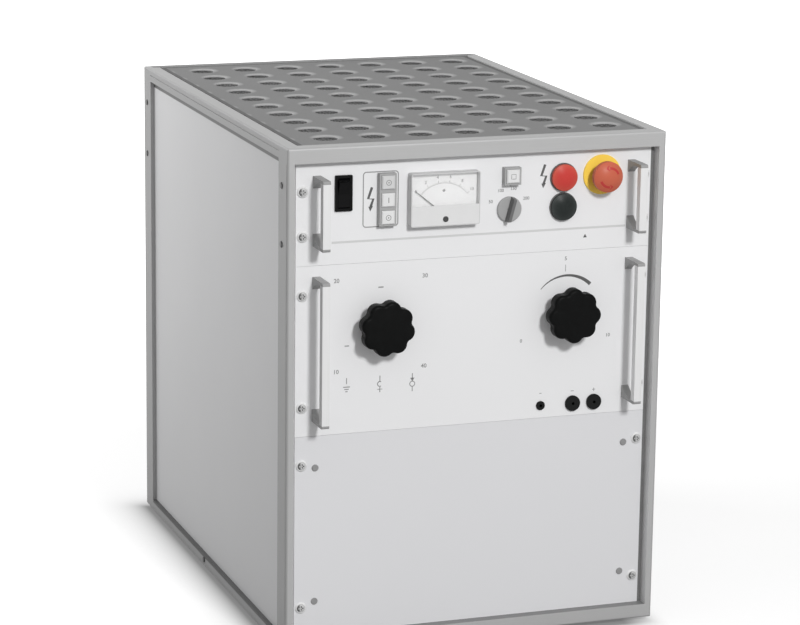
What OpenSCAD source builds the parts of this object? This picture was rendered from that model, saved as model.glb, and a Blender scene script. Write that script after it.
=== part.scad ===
// Impulse voltage generator: a bench cabinet for 19-inch panels with a control panel,
// a stage and voltage panel, and a blank panel over the impulse circuit.
// Millimetres, +Z up, the front faces -Y, the origin is under the middle of the part.

/* [Cabinet] */
// Depth of the frame from its front face to its back
cabinet_d = 706; // [640:1:900]
// Height of one rack unit
rack_unit = 44.45; // [44:0.05:45.5]
// Rack units of the control panel at the top
control_units = 3; // [3:1:4]
// Rack units of the stage panel in the middle
stage_units = 5; // [5:1:7]
// Rack units of the blank panel at the bottom
blank_units = 6; // [6:1:12]
// Height of the top cross rails
top_rail_h = 20; // [18:0.5:30]
// Height of the bottom cross rails
bottom_rail_h = 19; // [16:0.5:30]
// Height of the top side rails
top_side_h = 17.3; // [14:0.1:18]
// Rise of the bottom side rails above the bottom cross rails
side_rise = 6; // [0:0.5:12]
// Width of the side rails seen from above
side_rail_w = 18.5; // [16:0.5:22]
// Depth of the front cross rails
front_rail_d = 20; // [18:0.5:30]
// Depth of the rear cross rails
rear_rail_d = 20; // [18:0.5:34]
// Width of a corner post seen from the front
post_w = 9.5; // [8:0.1:10.5]
// Depth of a corner post seen from the side
post_d = 38; // [36:1:60]
// Gap between the end of a panel and a corner post
post_gap = 5.7; // [5:0.1:20]
// Radius along the outer edges of the frame
edge_r = 3; // [1:0.5:5]
// Width of the shadow grooves in the frame
groove_w = 1.2; // [0.8:0.1:2]
// Depth of the shadow grooves in the frame
groove_d = 0.8; // [0.4:0.1:1.5]
// Distance of the posts' shadow groove from the front
groove_y = 3.4; // [2:0.1:6]
// Width of the ledges that carry the top cover and the base plate
ledge_w = 8; // [5:0.5:14]
// Thickness of those ledges
ledge_t = 2; // [1.5:0.1:4]

/* [Covers] */
// Recess of the side panels from the frame's outer face
side_recess = 5.5; // [2:0.1:7]
// Thickness of the side and rear sheets
sheet_t = 1.5; // [1:0.1:2.5]
// Recess of the rear panel
rear_recess = 8; // [4:0.5:14]
// Recess of the top cover below the top of the rails
cover_drop = 1; // [0.3:0.1:3]
// Gap round the top cover and the base plate
cover_gap = 2.5; // [0.2:0.1:3]
// Vent holes across the top cover
vent_columns = 8; // [3:1:8]
// Vent holes along the top cover
vent_rows = 10; // [3:1:10]
// Distance between the vent holes
vent_pitch = 63.9; // [50:0.1:64]
// Distance of the right-hand column of vent holes from the side of the frame
vent_in = 59.6; // [50:0.1:66]
// Diameter of a vent hole
vent_d = 32; // [10:1:40]
// Thickness of the screen under the vent holes
screen_t = 1.6; // [0.8:0.1:2]
// Width of the screen's bars
screen_bar = 3; // [2:0.5:6]
// Thickness of the base plate
base_t = 2; // [1.5:0.1:4]
// Slots in one row of the rear panel
slot_count = 8; // [3:1:8]
// Rows of slots in the rear panel
slot_rows = 7; // [2:1:9]
// Length of a slot in the rear panel
slot_l = 40; // [20:1:42]
// Width of a slot in the rear panel
slot_w = 5; // [3:0.5:7]
// Distance between slots along a row
slot_pitch = 50; // [45:1:52]
// Distance between rows of slots
row_pitch = 14; // [10:1:16]
// Distance of the top row of slots below the top rail
slot_drop = 385; // [380:1:420]
// Diameter of a foot
foot_d = 40; // [30:1:56]
// Height of a foot
foot_h = 6; // [4:0.5:20]
// Distance of a foot's middle from the sides of the frame
foot_in = 30; // [28:1:60]
// Distance of the screw in a bottom side rail from the front of the frame
rail_screw_in = 387; // [300:1:480]

/* [Panels] */
// Width of a front panel
panel_w = 482.6; // [480:0.1:484]
// Thickness of a front panel
panel_t = 3; // [2:0.1:5]
// Height that each panel gives up to clear the next one
panel_gap = 0.3; // [0.3:0.1:2]
// Recess of the panels behind the front of the frame
panel_recess = 13.5; // [8:0.5:15]
// Distance of the panel screws from the ends of a panel
hole_in = 8.75; // [8.5:0.05:9.5]
// Radius of a panel screw's shank
screw_r = 3; // [2.4:0.1:3.2]
// Length of a panel screw behind the panel face
screw_l = 17; // [15:1:24]
// Radius of a cup washer
washer_r = 7.5; // [6.8:0.1:8]
// Height of a cup washer
washer_h = 2.4; // [1.8:0.1:2.8]
// Thickness of the rack strips
strip_t = 2.5; // [2:0.1:4]
// Distance from a strip's holes to its inner edge
strip_edge = 10; // [8:0.5:14]
// Width of the square holes in a strip
square_hole = 9.5; // [9:0.1:10]

/* [Handles] */
// Distance of the handles from the ends of a panel
handle_in = 27.3; // [25:0.1:35]
// Reach of a handle in front of the panel
handle_proud = 42.5; // [36:0.5:50]
// Width of a handle
handle_w = 10; // [8:0.5:12]
// Depth of a handle's grip
grip_d = 10.5; // [8:0.5:13]
// Radius of a bracket's outer corner
grip_r = 2.5; // [1:0.5:4]
// Length of the control panel's handles
control_handle_l = 90; // [70:1:100]
// Middle of those handles above the panel's bottom
control_handle_z = 70.4; // [60:0.1:75]
// Length of the stage panel's handles
stage_handle_l = 188.5; // [150:0.5:200]
// Middle of those handles above the panel's bottom
stage_handle_z = 114; // [105:0.5:120]
// Height of a bracket at the panel
bracket_root = 16; // [10:0.5:20]
// Height of a bracket at the grip
bracket_tip = 4; // [3:0.5:8]
// Hollow of a bracket's inner edge
bracket_sag = 3.5; // [1:0.1:5]
// Distance between the plugged handle holes of the blank panel
plug_span = 179; // [150:1:200]
// Middle of those holes above the panel's bottom
plug_z = 134.9; // [125:0.1:140]
// Radius of a hole plug's head
plug_r = 4.6; // [4:0.1:6]

/* [Mains rocker] */
// Middle of the rocker across the panel
rocker_x = -179; // [-182:0.5:-170]
// Middle of the rocker above the panel's bottom
rocker_z = 91.5; // [60:0.5:98]
// Width of the rocker's frame
rocker_frame_w = 23; // [20:0.5:26]
// Height of the rocker's frame
rocker_frame_h = 46; // [42:0.5:54]
// Reach of the frame in front of the panel
rocker_frame_proud = 3; // [2:0.5:5]
// Depth of the switch body behind the panel face
rocker_body_d = 34; // [24:1:50]
// Tilt of the rocker from its middle position
rocker_tilt = 10; // [6:1:12]

/* [Push buttons] */
// Middle of the row of three buttons across the panel
bank_x = -122.5; // [-126:0.5:-116]
// Middle of that row above the panel's bottom
bank_z = 81.35; // [60:0.05:90]
// Middle of the single button across the panel
single_x = 46; // [40:0.5:56]
// Middle of the single button above the panel's bottom
single_z = 103; // [98:0.5:110]
// Outer size of one button frame
button_size = 22.5; // [20:0.1:24]
// Reach of the button frames in front of the panel
button_frame_proud = 9.5; // [3:0.5:10.5]
// Reach of a button in front of the panel
button_proud = 12; // [11:0.5:16]
// Travel of a button
button_travel = 4; // [2:0.5:4]
// Wall of a button frame
button_wall = 2.2; // [1:0.1:2.6]

/* [Meter] */
// Middle of the meter across the panel
meter_x = -46.5; // [-52:0.5:-40]
// Middle of the meter above the panel's bottom
meter_z = 79; // [62:0.5:84]
// Width of the meter
meter_w = 93; // [88:0.5:98]
// Height of the meter
meter_h = 68.5; // [66:0.5:90]
// Reach of the meter in front of the panel
meter_proud = 14; // [12:0.5:20]
// Wall of the meter's case
meter_wall = 1.3; // [1.2:0.1:3]
// Height of the opaque cover below the window
meter_cover_h = 25; // [22:0.5:30]
// Radius of the barrel behind the panel
barrel_r = 30; // [24:0.5:32]
// Depth of the barrel behind the panel
barrel_d = 34; // [20:1:50]
// Distance of the needle's pivot below the middle of the meter
pivot_drop = 20.5; // [17:0.5:21]
// Length of the needle from its pivot
needle_l = 51; // [40:0.5:51.5]
// Half of the needle's sweep
needle_half = 51; // [40:1:51]

/* [Selector and lamps] */
// Middle of the selector across the panel
selector_x = 44.5; // [40:0.5:56]
// Middle of the selector above the panel's bottom
selector_z = 59; // [50:0.5:66]
// Radius of the selector's bezel
selector_r = 16.5; // [14:0.5:18]
// Reach of the selector's handle in front of the panel
selector_proud = 15; // [10:0.5:22]
// Width of the selector's handle
selector_bar_w = 5.4; // [5:0.2:9]
// Tilt of the handle to the right at rest
selector_tilt = 15; // [0:1:45]
// Middle of the lamps across the panel
lamp_x = 119; // [110:0.5:124]
// Middle of the red lamp above the panel's bottom
red_lamp_z = 97; // [96:0.5:102]
// Middle of the green lamp above the panel's bottom
green_lamp_z = 58.5; // [44:0.5:58.5]
// Radius of a lamp's bezel
lamp_r = 18.5; // [16:0.5:18.5]
// Height of a lamp's bezel
lamp_rim = 2.6; // [2:0.1:6]
// Radius of a lamp's lens
lens_r = 17.2; // [13:0.1:17.3]
// Reach of a lens's straight side in front of the panel
lens_side = 7; // [6.5:0.5:8]
// Reach of a lens in front of the panel
lens_proud = 11; // [9:0.5:18]

/* [Emergency stop] */
// Middle of the emergency stop across the panel
estop_x = 172.5; // [165:0.5:175]
// Middle of the emergency stop above the panel's bottom
estop_z = 98; // [70:0.5:100]
// Radius of the yellow collar
collar_r = 26; // [22:0.5:28]
// Thickness of the collar
collar_t = 2.5; // [1.5:0.1:4]
// Radius of the mushroom head
mushroom_r = 20; // [18:0.5:24]
// Reach of the mushroom head in front of the panel
estop_proud = 30; // [28:0.5:40]
// Distance from the panel to the back of the mushroom's neck
mushroom_back = 12; // [11.5:0.5:14]
// Travel of the emergency stop
estop_travel = 6; // [4:0.5:6]

/* [Stage and voltage controls] */
// Distance of the two large knobs from the middle of the panel
knob_x = 127.5; // [110:0.5:135]
// Middle of the large knobs above the panel's bottom
knob_z = 141.3; // [120:0.1:150]
// Outer radius of a large knob over its lobes
knob_r = 36; // [34:0.5:40]
// Lobes of a large knob
knob_lobes = 8; // [6:1:9]
// Radius of one lobe
lobe_r = 12; // [10:0.5:13]
// Radius of the valley between two lobes
valley_r = 7; // [5:0.5:9]
// Reach of a large knob in front of the panel
knob_proud = 37; // [34:0.5:44]
// Distance from the panel to the back of the lobes
knob_back = 17; // [8:0.5:18]
// Radius of the hub behind the lobes
hub_r = 18; // [16:0.5:24]
// Radius of a knob's shaft
shaft_r = 5; // [4:0.5:6]
// Depth of the rotary switch behind the panel
switch_d = 84; // [70:1:120]
// Width of the rotary switch's wafers
wafer_w = 92; // [84:1:110]
// Thickness of a wafer
wafer_t = 4; // [3:0.5:6]
// Radius of the circle of contacts
contact_ring = 34; // [30:0.5:38]
// Outer radius of the variable transformer's winding
variac_r = 78; // [60:1:84]
// Inner radius of that winding
variac_bore = 34; // [26:1:40]
// Length of that winding
variac_l = 60; // [40:1:90]

/* [Sockets] */
// Earth socket across the panel
earth_x = 94.5; // [60:0.5:100]
// First output socket across the panel
output_x = 139.5; // [125:0.5:145]
// Distance between the output sockets
output_pitch = 30; // [24:0.5:34]
// Sockets above the panel's bottom
socket_z = 16.8; // [14:0.1:20]
// Radius of the earth socket's ring
earth_r = 6; // [5:0.1:8]
// Radius of an output socket's shroud
output_r = 10.25; // [8:0.05:11]
// Reach of the output sockets in front of the panel
output_proud = 4; // [2:0.5:8]
// Reach of the earth socket in front of the panel
earth_proud = 2.5; // [1.5:0.5:6]
// Radius of the plug hole in a socket
plug_hole_r = 2.05; // [2:0.05:2.2]
// Depth of the plug hole in a socket
plug_hole_l = 24; // [18:1:30]

/* [Inside] */
// Thickness of the equipment shelf
shelf_t = 2; // [1.5:0.1:4]
// Height of the shelf's front and rear flanges
shelf_flange = 25; // [15:1:40]
// Drop of the shelf below the top of the blank panel
shelf_drop = 20; // [10:1:30]
// Radius of an impulse capacitor
capacitor_r = 38; // [30:1:42]
// Height of an impulse capacitor without its terminal
capacitor_h = 150; // [100:1:170]
// Distance between the impulse capacitors
capacitor_pitch = 96; // [90:1:110]
// Distance of the capacitors' middles from the front of the frame
capacitor_in = 170; // [120:1:220]
// Middle of the high-voltage transformer across the cabinet
transformer_x = -130; // [-135:1:-60]
// Distance of the transformer's middle from the back of the frame
transformer_in = 190; // [150:1:240]
// Width of the high-voltage transformer
transformer_w = 150; // [120:1:180]
// Depth of the high-voltage transformer
transformer_d = 110; // [90:1:140]
// Height of the high-voltage transformer's core
transformer_h = 130; // [100:1:140]
// Length of a wave-shaping resistor
resistor_l = 160; // [120:1:200]
// Radius of a wave-shaping resistor
resistor_r = 11; // [8:0.5:16]
// Distance between the wave-shaping resistors
resistor_pitch = 34; // [33:1:40]
// Middle of the first resistor across the cabinet
resistor_x = -150; // [-200:1:-120]
// Distance of the resistors' middles from the front of the frame
resistor_in = 420; // [380:1:480]
// Middle of the rectifier stack across the cabinet
rectifier_x = 150; // [60:1:180]
// Distance of the rectifier stack from the back of the frame
rectifier_in = 130; // [90:1:180]
// Middle of the control board across the cabinet
board_x = 110; // [60:1:130]
// Distance of the board's middle from the front of the frame
board_in = 300; // [260:1:360]
// Width of the control board
board_w = 200; // [160:1:230]
// Depth of the control board
board_d = 140; // [120:1:180]
// Mains inlet across the rear panel
inlet_x = -150; // [-180:1:-100]
// Mains inlet above the bottom of the rear panel
inlet_z = 55; // [40:1:90]

/* [Hidden] */
$fn = 64;

// Clearances: between still pieces, round a running shaft, and past a cut face
clear = 0.3;
running = 0.05;
over = 1;

// Heights, from the floor up
units = control_units + stage_units + blank_units;
opening_h = units*rack_unit;
opening_z = foot_h + bottom_rail_h;
stage_z = opening_z + blank_units*rack_unit;
control_z = stage_z + stage_units*rack_unit;
opening_top = opening_z + opening_h;
top_z = opening_top + top_rail_h;

// Depths, with the whole part centred on the origin
front_reach = max(knob_proud, handle_proud, estop_proud) - panel_recess;
front_y = (front_reach - cabinet_d)/2;
back_y = front_y + cabinet_d;
face_y = front_y + panel_recess;
strip_y = face_y + panel_t;
rear_strip_y = back_y - post_d;

// Widths, with the controls spread over the panel as over a standard one
standard_w = 482.6;
spread = panel_w/standard_w;
cabinet_w = panel_w + 2*(post_gap + post_w);
half_w = cabinet_w/2;
handle_x = panel_w/2 - handle_in;
post_in = half_w - post_w;
side_in = half_w - side_rail_w;
hole_x = panel_w/2 - hole_in;
strip_in = hole_x - strip_edge;

// Seats of the top cover and the base plate
cover_top = top_z - cover_drop;
cover_seat = cover_top - sheet_t;
base_seat = foot_h + ledge_t;
base_top = base_seat + base_t;
shelf_z = stage_z - shelf_drop;
shelf_top = shelf_z + shelf_t;

// A box from one corner to the opposite one
module block(low, high) {
    translate(low) cube(high - low);
}

// An outline in x and z made a wall that starts at y0 and is t thick
module upright(y0, t) {
    translate([0, y0 + t, 0]) rotate([90, 0, 0]) linear_extrude(t) children();
}

// An outline in y and z made a piece that starts at x0 and is w wide
module side_on(x0, w) {
    translate([x0, 0, 0]) rotate([90, 0, 90]) linear_extrude(w) children();
}

// A round bar along y
module bar_y(y0, y1, r) {
    translate([0, y0, 0]) rotate([-90, 0, 0]) cylinder(h = y1 - y0, r = r);
}

// A profile of radius and depth turned about the y axis
module turned() {
    rotate([-90, 0, 0]) rotate_extrude() children();
}

// A rectangle with its middle at the origin
module plate_outline(w, h) {
    square([w, h], center = true);
}

// A rectangle from the origin with four round corners
module round_rect(w, h, r) {
    translate([r, 0]) square([w - 2*r, h]);
    translate([0, r]) square([w, h - 2*r]);
    for (x = [r, w - r]) for (y = [r, h - r]) translate([x, y]) circle(r);
}

// The sharp corner outside a fillet, for a corner at the origin
module corner_cut(r) {
    difference() {
        translate([-over, -over]) square(r + over);
        translate([r, r]) circle(r);
    }
}

// A slot along x with round ends
module slot_outline(l, w) {
    square([l - w, w], center = true);
    for (s = [-1, 1]) translate([s*(l - w)/2, 0]) circle(w/2);
}

// Left and right copies
module both_sides() {
    children();
    mirror([1, 0, 0]) children();
}

// A place on the front face of a panel, with y = 0 at the face
module on_face(x, z) {
    translate([x, face_y, z]) children();
}

// A place among the controls, which keep their share of the panel's width
module on_panel(x, z) {
    on_face(x*spread, z) children();
}

// Frame

// The rounded outer form that every member of the frame is cut to
module frame_envelope() {
    h = top_z - foot_h;
    intersection() {
        translate([-half_w, front_y, foot_h]) linear_extrude(h) round_rect(cabinet_w, cabinet_d, edge_r);
        side_on(-half_w, cabinet_w) translate([front_y, foot_h]) round_rect(cabinet_d, h, edge_r);
        upright(front_y, cabinet_d) translate([-half_w, foot_h]) round_rect(cabinet_w, h, edge_r);
    }
}

// Side screws of the posts, as distances below the opening's top
screw_drops = [30.3, 105.3];
side_screw_in = 18.5;
side_screw_r = 2;
side_screw_l = 7;
side_screw_head_r = 4.4;
side_screw_head = 1.3;

module front_post() {
    groove_x = -half_w - over;
    difference() {
        intersection() {
            block([-half_w, front_y, foot_h], [-post_in, front_y + post_d, top_z]);
            frame_envelope();
        }
        block([groove_x, front_y + groove_y, opening_z],
            [-half_w + groove_d, front_y + groove_y + groove_w, opening_top]);
        for (d = screw_drops)
            translate([-half_w - over, front_y + side_screw_in + edge_r*2, opening_top - d])
                rotate([0, 90, 0]) cylinder(h = side_screw_l + over, r = side_screw_r + 0.1);
    }
}

module rear_post() {
    difference() {
        intersection() {
            block([-half_w, back_y - post_d, foot_h], [-post_in, back_y, top_z]);
            frame_envelope();
        }
        for (d = screw_drops)
            translate([-half_w - over, back_y - side_screw_in, opening_top - d])
                rotate([0, 90, 0]) cylinder(h = side_screw_l + over, r = side_screw_r + 0.1);
    }
}

module front_posts() {
    color("silver") both_sides() front_post();
}

module rear_posts() {
    color("silver") both_sides() rear_post();
}

// One cross rail between the posts, with the ledge that carries a cover
module cross_rail(y0, y1, z0, z1, ledge_y, ledge_z) {
    block([-post_in, y0, z0], [post_in, y1, z1]);
    block([-side_in + ledge_w, ledge_y, ledge_z], [side_in - ledge_w, ledge_y + ledge_w, ledge_z + ledge_t]);
}

module cross_rails() {
    front_in = front_y + front_rail_d;
    rear_in = back_y - rear_rail_d;
    color("silver") intersection() {
        union() {
            cross_rail(front_y, front_in, opening_top, top_z, front_in, cover_seat - ledge_t);
            cross_rail(rear_in, back_y, opening_top, top_z, rear_in - ledge_w, cover_seat - ledge_t);
            cross_rail(front_y, front_in, foot_h, opening_z, front_in, foot_h);
            cross_rail(rear_in, back_y, foot_h, opening_z, rear_in - ledge_w, foot_h);
        }
        frame_envelope();
    }
}

// A left side rail from z0 to z1, notched round the two posts
module side_rail(z0, z1, groove_z) {
    front_in = front_y + front_rail_d;
    rear_in = back_y - rear_rail_d;
    difference() {
        block([-half_w, front_in, z0], [-side_in, rear_in, z1]);
        block([-half_w - over, front_in - over, z0 - over], [-post_in, front_y + post_d, z1 + over]);
        block([-half_w - over, back_y - post_d, z0 - over], [-post_in, rear_in + over, z1 + over]);
        block([-half_w - over, front_in, groove_z], [-half_w + groove_d, rear_in, groove_z + groove_w]);
    }
}

rail_screw_y = front_y + rail_screw_in;
rail_screw_z = foot_h + bottom_rail_h/2;

module side_rails() {
    color("silver") intersection() {
        both_sides() {
            side_rail(top_z - top_side_h, top_z, top_z - top_side_h/2);
            difference() {
                side_rail(foot_h, opening_z + side_rise, opening_z);
                translate([-half_w - over, rail_screw_y, rail_screw_z])
                    rotate([0, 90, 0]) cylinder(h = side_screw_l + over, r = side_screw_r + 0.1);
            }
            block([-side_in - over, front_y + front_rail_d, foot_h],
                [-side_in + ledge_w, back_y - rear_rail_d, foot_h + ledge_t]);
        }
        frame_envelope();
    }
}

// Covers

module side_panel() {
    x = -half_w + side_recess;
    block([x, front_y + post_d, opening_z + side_rise],
        [x + sheet_t, back_y - post_d, top_z - top_side_h]);
}

module side_panel_left() {
    color("lightgray") side_panel();
}

module side_panel_right() {
    color("lightgray") mirror([1, 0, 0]) side_panel();
}

// Size of the hole that the mains inlet's body passes through
inlet_body_w = 28;
inlet_body_h = 20;
inlet_flange_w = 50;
inlet_flange_h = 24;
rear_screw_in = 14;
rear_sheet_y = back_y - rear_recess - sheet_t;

module rear_screw_places() {
    mid = (opening_z + opening_top)/2;
    for (x = [-1, 1]) for (z = [opening_z + rear_screw_in, mid, opening_top - rear_screw_in])
        translate([x*(post_in - rear_screw_in), 0, z]) children();
}

module rear_panel() {
    color("lightgray") difference() {
        upright(rear_sheet_y, sheet_t) difference() {
            translate([-post_in, opening_z]) square([2*post_in, opening_h]);
            for (i = [0:slot_count - 1]) for (j = [0:slot_rows - 1])
                translate([(i - (slot_count - 1)/2)*slot_pitch, opening_top - slot_drop - j*row_pitch])
                    slot_outline(slot_l, slot_w);
            translate([inlet_x, opening_z + inlet_z]) plate_outline(inlet_body_w + clear, inlet_body_h + clear);
        }
        rear_screw_places() bar_y(rear_sheet_y - over, rear_sheet_y + sheet_t + over, side_screw_r + 0.1);
    }
}

cover_y0 = front_y + front_rail_d + cover_gap;
cover_y1 = back_y - rear_rail_d - cover_gap;

vent_xs = [for (i = [0:vent_columns - 1]) half_w - vent_in - i*vent_pitch];
vent_ys = [for (j = [0:vent_rows - 1]) (cover_y0 + cover_y1)/2 + (j - (vent_rows - 1)/2)*vent_pitch];

module top_cover() {
    color("gray") difference() {
        block([-side_in + cover_gap, cover_y0, cover_seat], [side_in - cover_gap, cover_y1, cover_top]);
        for (x = vent_xs) for (y = vent_ys)
            translate([x, y, cover_seat - over]) cylinder(h = sheet_t + 2*over, r = vent_d/2);
    }
}

// A grid whose bars run under the middles of the vent holes
module vent_screen() {
    x = side_in - ledge_w - cover_gap;
    y0 = cover_y0 + ledge_w;
    y1 = cover_y1 - ledge_w;
    color("dimgray") translate([0, 0, cover_seat - screen_t]) linear_extrude(screen_t) {
        difference() {
            translate([-x, y0]) square([2*x, y1 - y0]);
            translate([screen_bar - x, y0 + screen_bar]) square([2*(x - screen_bar), y1 - y0 - 2*screen_bar]);
        }
        for (v = vent_xs) if (abs(v) < x) translate([v - screen_bar/2, y0]) square([screen_bar, y1 - y0]);
        for (v = vent_ys) translate([-x, v - screen_bar/2]) square([2*x, screen_bar]);
    }
}

module base_plate() {
    color("silver")
        block([-side_in + cover_gap, cover_y0, base_seat], [side_in - cover_gap, cover_y1, base_top]);
}

module feet() {
    bevel = 1.5;
    color("black") for (x = [-1, 1]) for (y = [front_y + foot_in*1.5, back_y - foot_in*1.5])
        translate([x*(half_w - foot_in), y, 0]) rotate_extrude()
            polygon([[0, 0], [foot_d/2 - bevel, 0], [foot_d/2, bevel], [foot_d/2, foot_h], [0, foot_h]]);
}

// Front panels and what holds them

// Heights of a panel's two screw holes above the start of its first unit
function panel_holes(z, n) = [z + rack_unit*6/7, z + (n - 1)*rack_unit + rack_unit/7];
all_holes = concat(panel_holes(opening_z, blank_units), panel_holes(stage_z, stage_units),
    panel_holes(control_z, control_units));

module screw_places() {
    for (s = [-1, 1]) for (z = all_holes) on_face(s*hole_x, z) children();
}

// A strip on the left side, from z0 up to the top of the opening
module rack_strip(z0) {
    difference() {
        block([-post_in, 0, z0], [-strip_in, strip_t, opening_top]);
        for (u = [0:units - 1]) for (h = [1/7, 1/2, 6/7])
            let (z = opening_z + (u + h)*rack_unit)
                if (z - square_hole/2 > z0)
                    translate([-hole_x, strip_t/2, z])
                        cube([square_hole, strip_t + 2*over, square_hole], center = true);
    }
}

module rack_strips() {
    color("silver") both_sides() {
        translate([0, strip_y, 0]) rack_strip(opening_z);
        translate([0, rear_strip_y, 0]) rack_strip(opening_z + side_rise);
    }
}

module cage_nuts() {
    nut_w = 13.5;
    nut_t = 5;
    neck = square_hole - 2*clear;
    color("darkgray") screw_places() difference() {
        union() {
            translate([0, panel_t + strip_t/2, 0]) cube([neck, strip_t, neck], center = true);
            translate([0, panel_t + strip_t + nut_t/2, 0]) cube([nut_w, nut_t, nut_w], center = true);
        }
        bar_y(0, panel_t + strip_t + nut_t + over, screw_r + running);
    }
}

module panel_outline(z, n) {
    translate([-panel_w/2, z + panel_gap/2]) square([panel_w, n*rack_unit - panel_gap]);
}

module panel_slots() {
    slot_h = 2*(screw_r + clear);
    for (s = [-1, 1]) for (z = all_holes) translate([s*hole_x, z]) slot_outline(slot_h + 3, slot_h);
}

// Sizes that both a control and the hole in its panel follow
body_in = 1;
rocker_body_w = rocker_frame_w - 2*body_in;
rocker_body_h = rocker_frame_h - 2*body_in;
button_body = button_size - 2*body_in;
bank_body = 3*button_size - 2*body_in;
lamp_neck_r = 13.5;
selector_neck_r = 8;
estop_neck_r = 11;
bush_r = shaft_r + 3;
socket_neck_r = 6;
earth_neck_r = 4;
plug_neck_r = 3.4;

// An outline cut through a panel at a place among its controls
module cut_at(x, z) {
    translate([x*spread, z]) children();
}

module control_panel() {
    color("white") upright(face_y, panel_t) difference() {
        panel_outline(control_z, control_units);
        panel_slots();
        translate([0, control_z]) {
            cut_at(rocker_x, rocker_z) plate_outline(rocker_body_w + clear, rocker_body_h + clear);
            cut_at(bank_x, bank_z) plate_outline(button_body + clear, bank_body + clear);
            cut_at(single_x, single_z) plate_outline(button_body + clear, button_body + clear);
            cut_at(meter_x, meter_z) circle(barrel_r + clear);
            cut_at(selector_x, selector_z) circle(selector_neck_r + clear);
            cut_at(lamp_x, red_lamp_z) circle(lamp_neck_r + clear);
            cut_at(lamp_x, green_lamp_z) circle(lamp_neck_r + clear);
            cut_at(estop_x, estop_z) circle(estop_neck_r + clear);
        }
    }
}

module stage_panel() {
    color("white") upright(face_y, panel_t) difference() {
        panel_outline(stage_z, stage_units);
        panel_slots();
        translate([0, stage_z]) {
            cut_at(-knob_x, knob_z) circle(bush_r + clear);
            cut_at(knob_x, knob_z) circle(bush_r + clear);
            cut_at(earth_x, socket_z) circle(earth_neck_r + clear);
            cut_at(output_x, socket_z) circle(socket_neck_r + clear);
            cut_at(output_x + output_pitch, socket_z) circle(socket_neck_r + clear);
        }
    }
}

module plug_places() {
    for (x = [-1, 1]) for (z = [-1, 1]) on_face(x*handle_x, opening_z + plug_z + z*plug_span/2) children();
}

module blank_panel() {
    color("gainsboro") upright(face_y, panel_t) difference() {
        panel_outline(opening_z, blank_units);
        panel_slots();
        for (x = [-1, 1]) for (z = [-1, 1])
            translate([x*handle_x, opening_z + plug_z + z*plug_span/2]) circle(plug_neck_r + clear);
    }
}

// Countersunk screws in cup washers: both cones have a slope of 45 degrees
head_r = screw_r + washer_h;
head_dome = 1.1;

module rack_screws() {
    dome_r = (head_r*head_r + head_dome*head_dome)/(2*head_dome);
    color("dimgray") screw_places() {
        turned() polygon([[0, -washer_h], [head_r, -washer_h], [screw_r, 0], [screw_r, screw_l], [0, screw_l]]);
        intersection() {
            turned() translate([0, dome_r - washer_h - head_dome]) intersection() {
                circle(dome_r);
                translate([0, -dome_r]) square([dome_r, 2*dome_r]);
            }
            bar_y(-washer_h - head_dome - over, -washer_h, head_r);
        }
    }
}

module cup_washers() {
    gap = 0.3;
    rim = 0.7;
    color("white") screw_places() turned() polygon([
        [screw_r + gap + rim, 0], [washer_r, 0], [washer_r, -rim], [head_r + gap + rim/2, -washer_h],
        [head_r + gap, -washer_h], [screw_r + gap + rim, -rim]]);
}

module hole_plugs() {
    head = 1.6;
    color("gray") plug_places() turned() polygon([
        [0, -head], [plug_r - head/2, -head], [plug_r, -head/3], [plug_r, 0],
        [plug_neck_r, 0], [plug_neck_r, panel_t + 3], [0, panel_t + 3]]);
}

// A screw that enters along +x, its head's underside at the origin
module side_screw() {
    rotate([0, 90, 0]) {
        cylinder(h = side_screw_l - over, r = side_screw_r);
        translate([0, 0, -side_screw_head])
            cylinder(h = side_screw_head, r1 = side_screw_head_r - side_screw_head/2, r2 = side_screw_head_r);
    }
}

module case_screws() {
    color("black") {
        both_sides() {
            for (d = screw_drops) {
                translate([-half_w, front_y + side_screw_in + edge_r*2, opening_top - d]) side_screw();
                translate([-half_w, back_y - side_screw_in, opening_top - d]) side_screw();
            }
            translate([-half_w, rail_screw_y, rail_screw_z]) side_screw();
        }
        rear_screw_places() translate([0, rear_sheet_y + sheet_t, 0]) rotate([0, 0, -90]) side_screw();
    }
}

// Handles

// Middle of the circle through a and b whose arc rises by sag on the other side
function arc_middle(a, b, sag) =
    let (c = norm(b - a), r = (c*c/4 + sag*sag)/(2*sag))
    (a + b)/2 + [b[1] - a[1], a[0] - b[0]]/c*(r - sag);
function arc_radius(a, b, sag) = (pow(norm(b - a), 2)/4 + sag*sag)/(2*sag);

// The upper bracket of a handle, its outer end at z = 0
module bracket() {
    d = handle_proud - grip_d;
    tip = [-d, -bracket_tip];
    root = [0, -bracket_root];
    side_on(-handle_w/2, handle_w) difference() {
        polygon([[0, 0], [-handle_proud, 0], [-handle_proud, -bracket_tip], tip, root]);
        translate(arc_middle(tip, root, bracket_sag)) circle(arc_radius(tip, root, bracket_sag), $fn = 128);
        translate([-handle_proud, 0]) mirror([0, 1]) corner_cut(grip_r);
    }
}

// The grip of a handle of length l, between the tips of its brackets
module grip(l) {
    side_on(-handle_w/2, handle_w) translate([-handle_proud, bracket_tip - l/2])
        square([grip_d, l - 2*bracket_tip]);
}

// The middles and lengths of the handles on one side: height above the floor, then length
handles = [[control_z + control_handle_z, control_handle_l], [stage_z + stage_handle_z, stage_handle_l]];

module handle_brackets() {
    color("gray") for (x = [-1, 1]) for (h = handles) on_face(x*handle_x, h[0]) {
        translate([0, 0, h[1]/2]) bracket();
        translate([0, 0, -h[1]/2]) mirror([0, 0, 1]) bracket();
    }
}

module handle_grips() {
    color("lightgray") for (x = [-1, 1]) for (h = handles) on_face(x*handle_x, h[0]) grip(h[1]);
}

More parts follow.
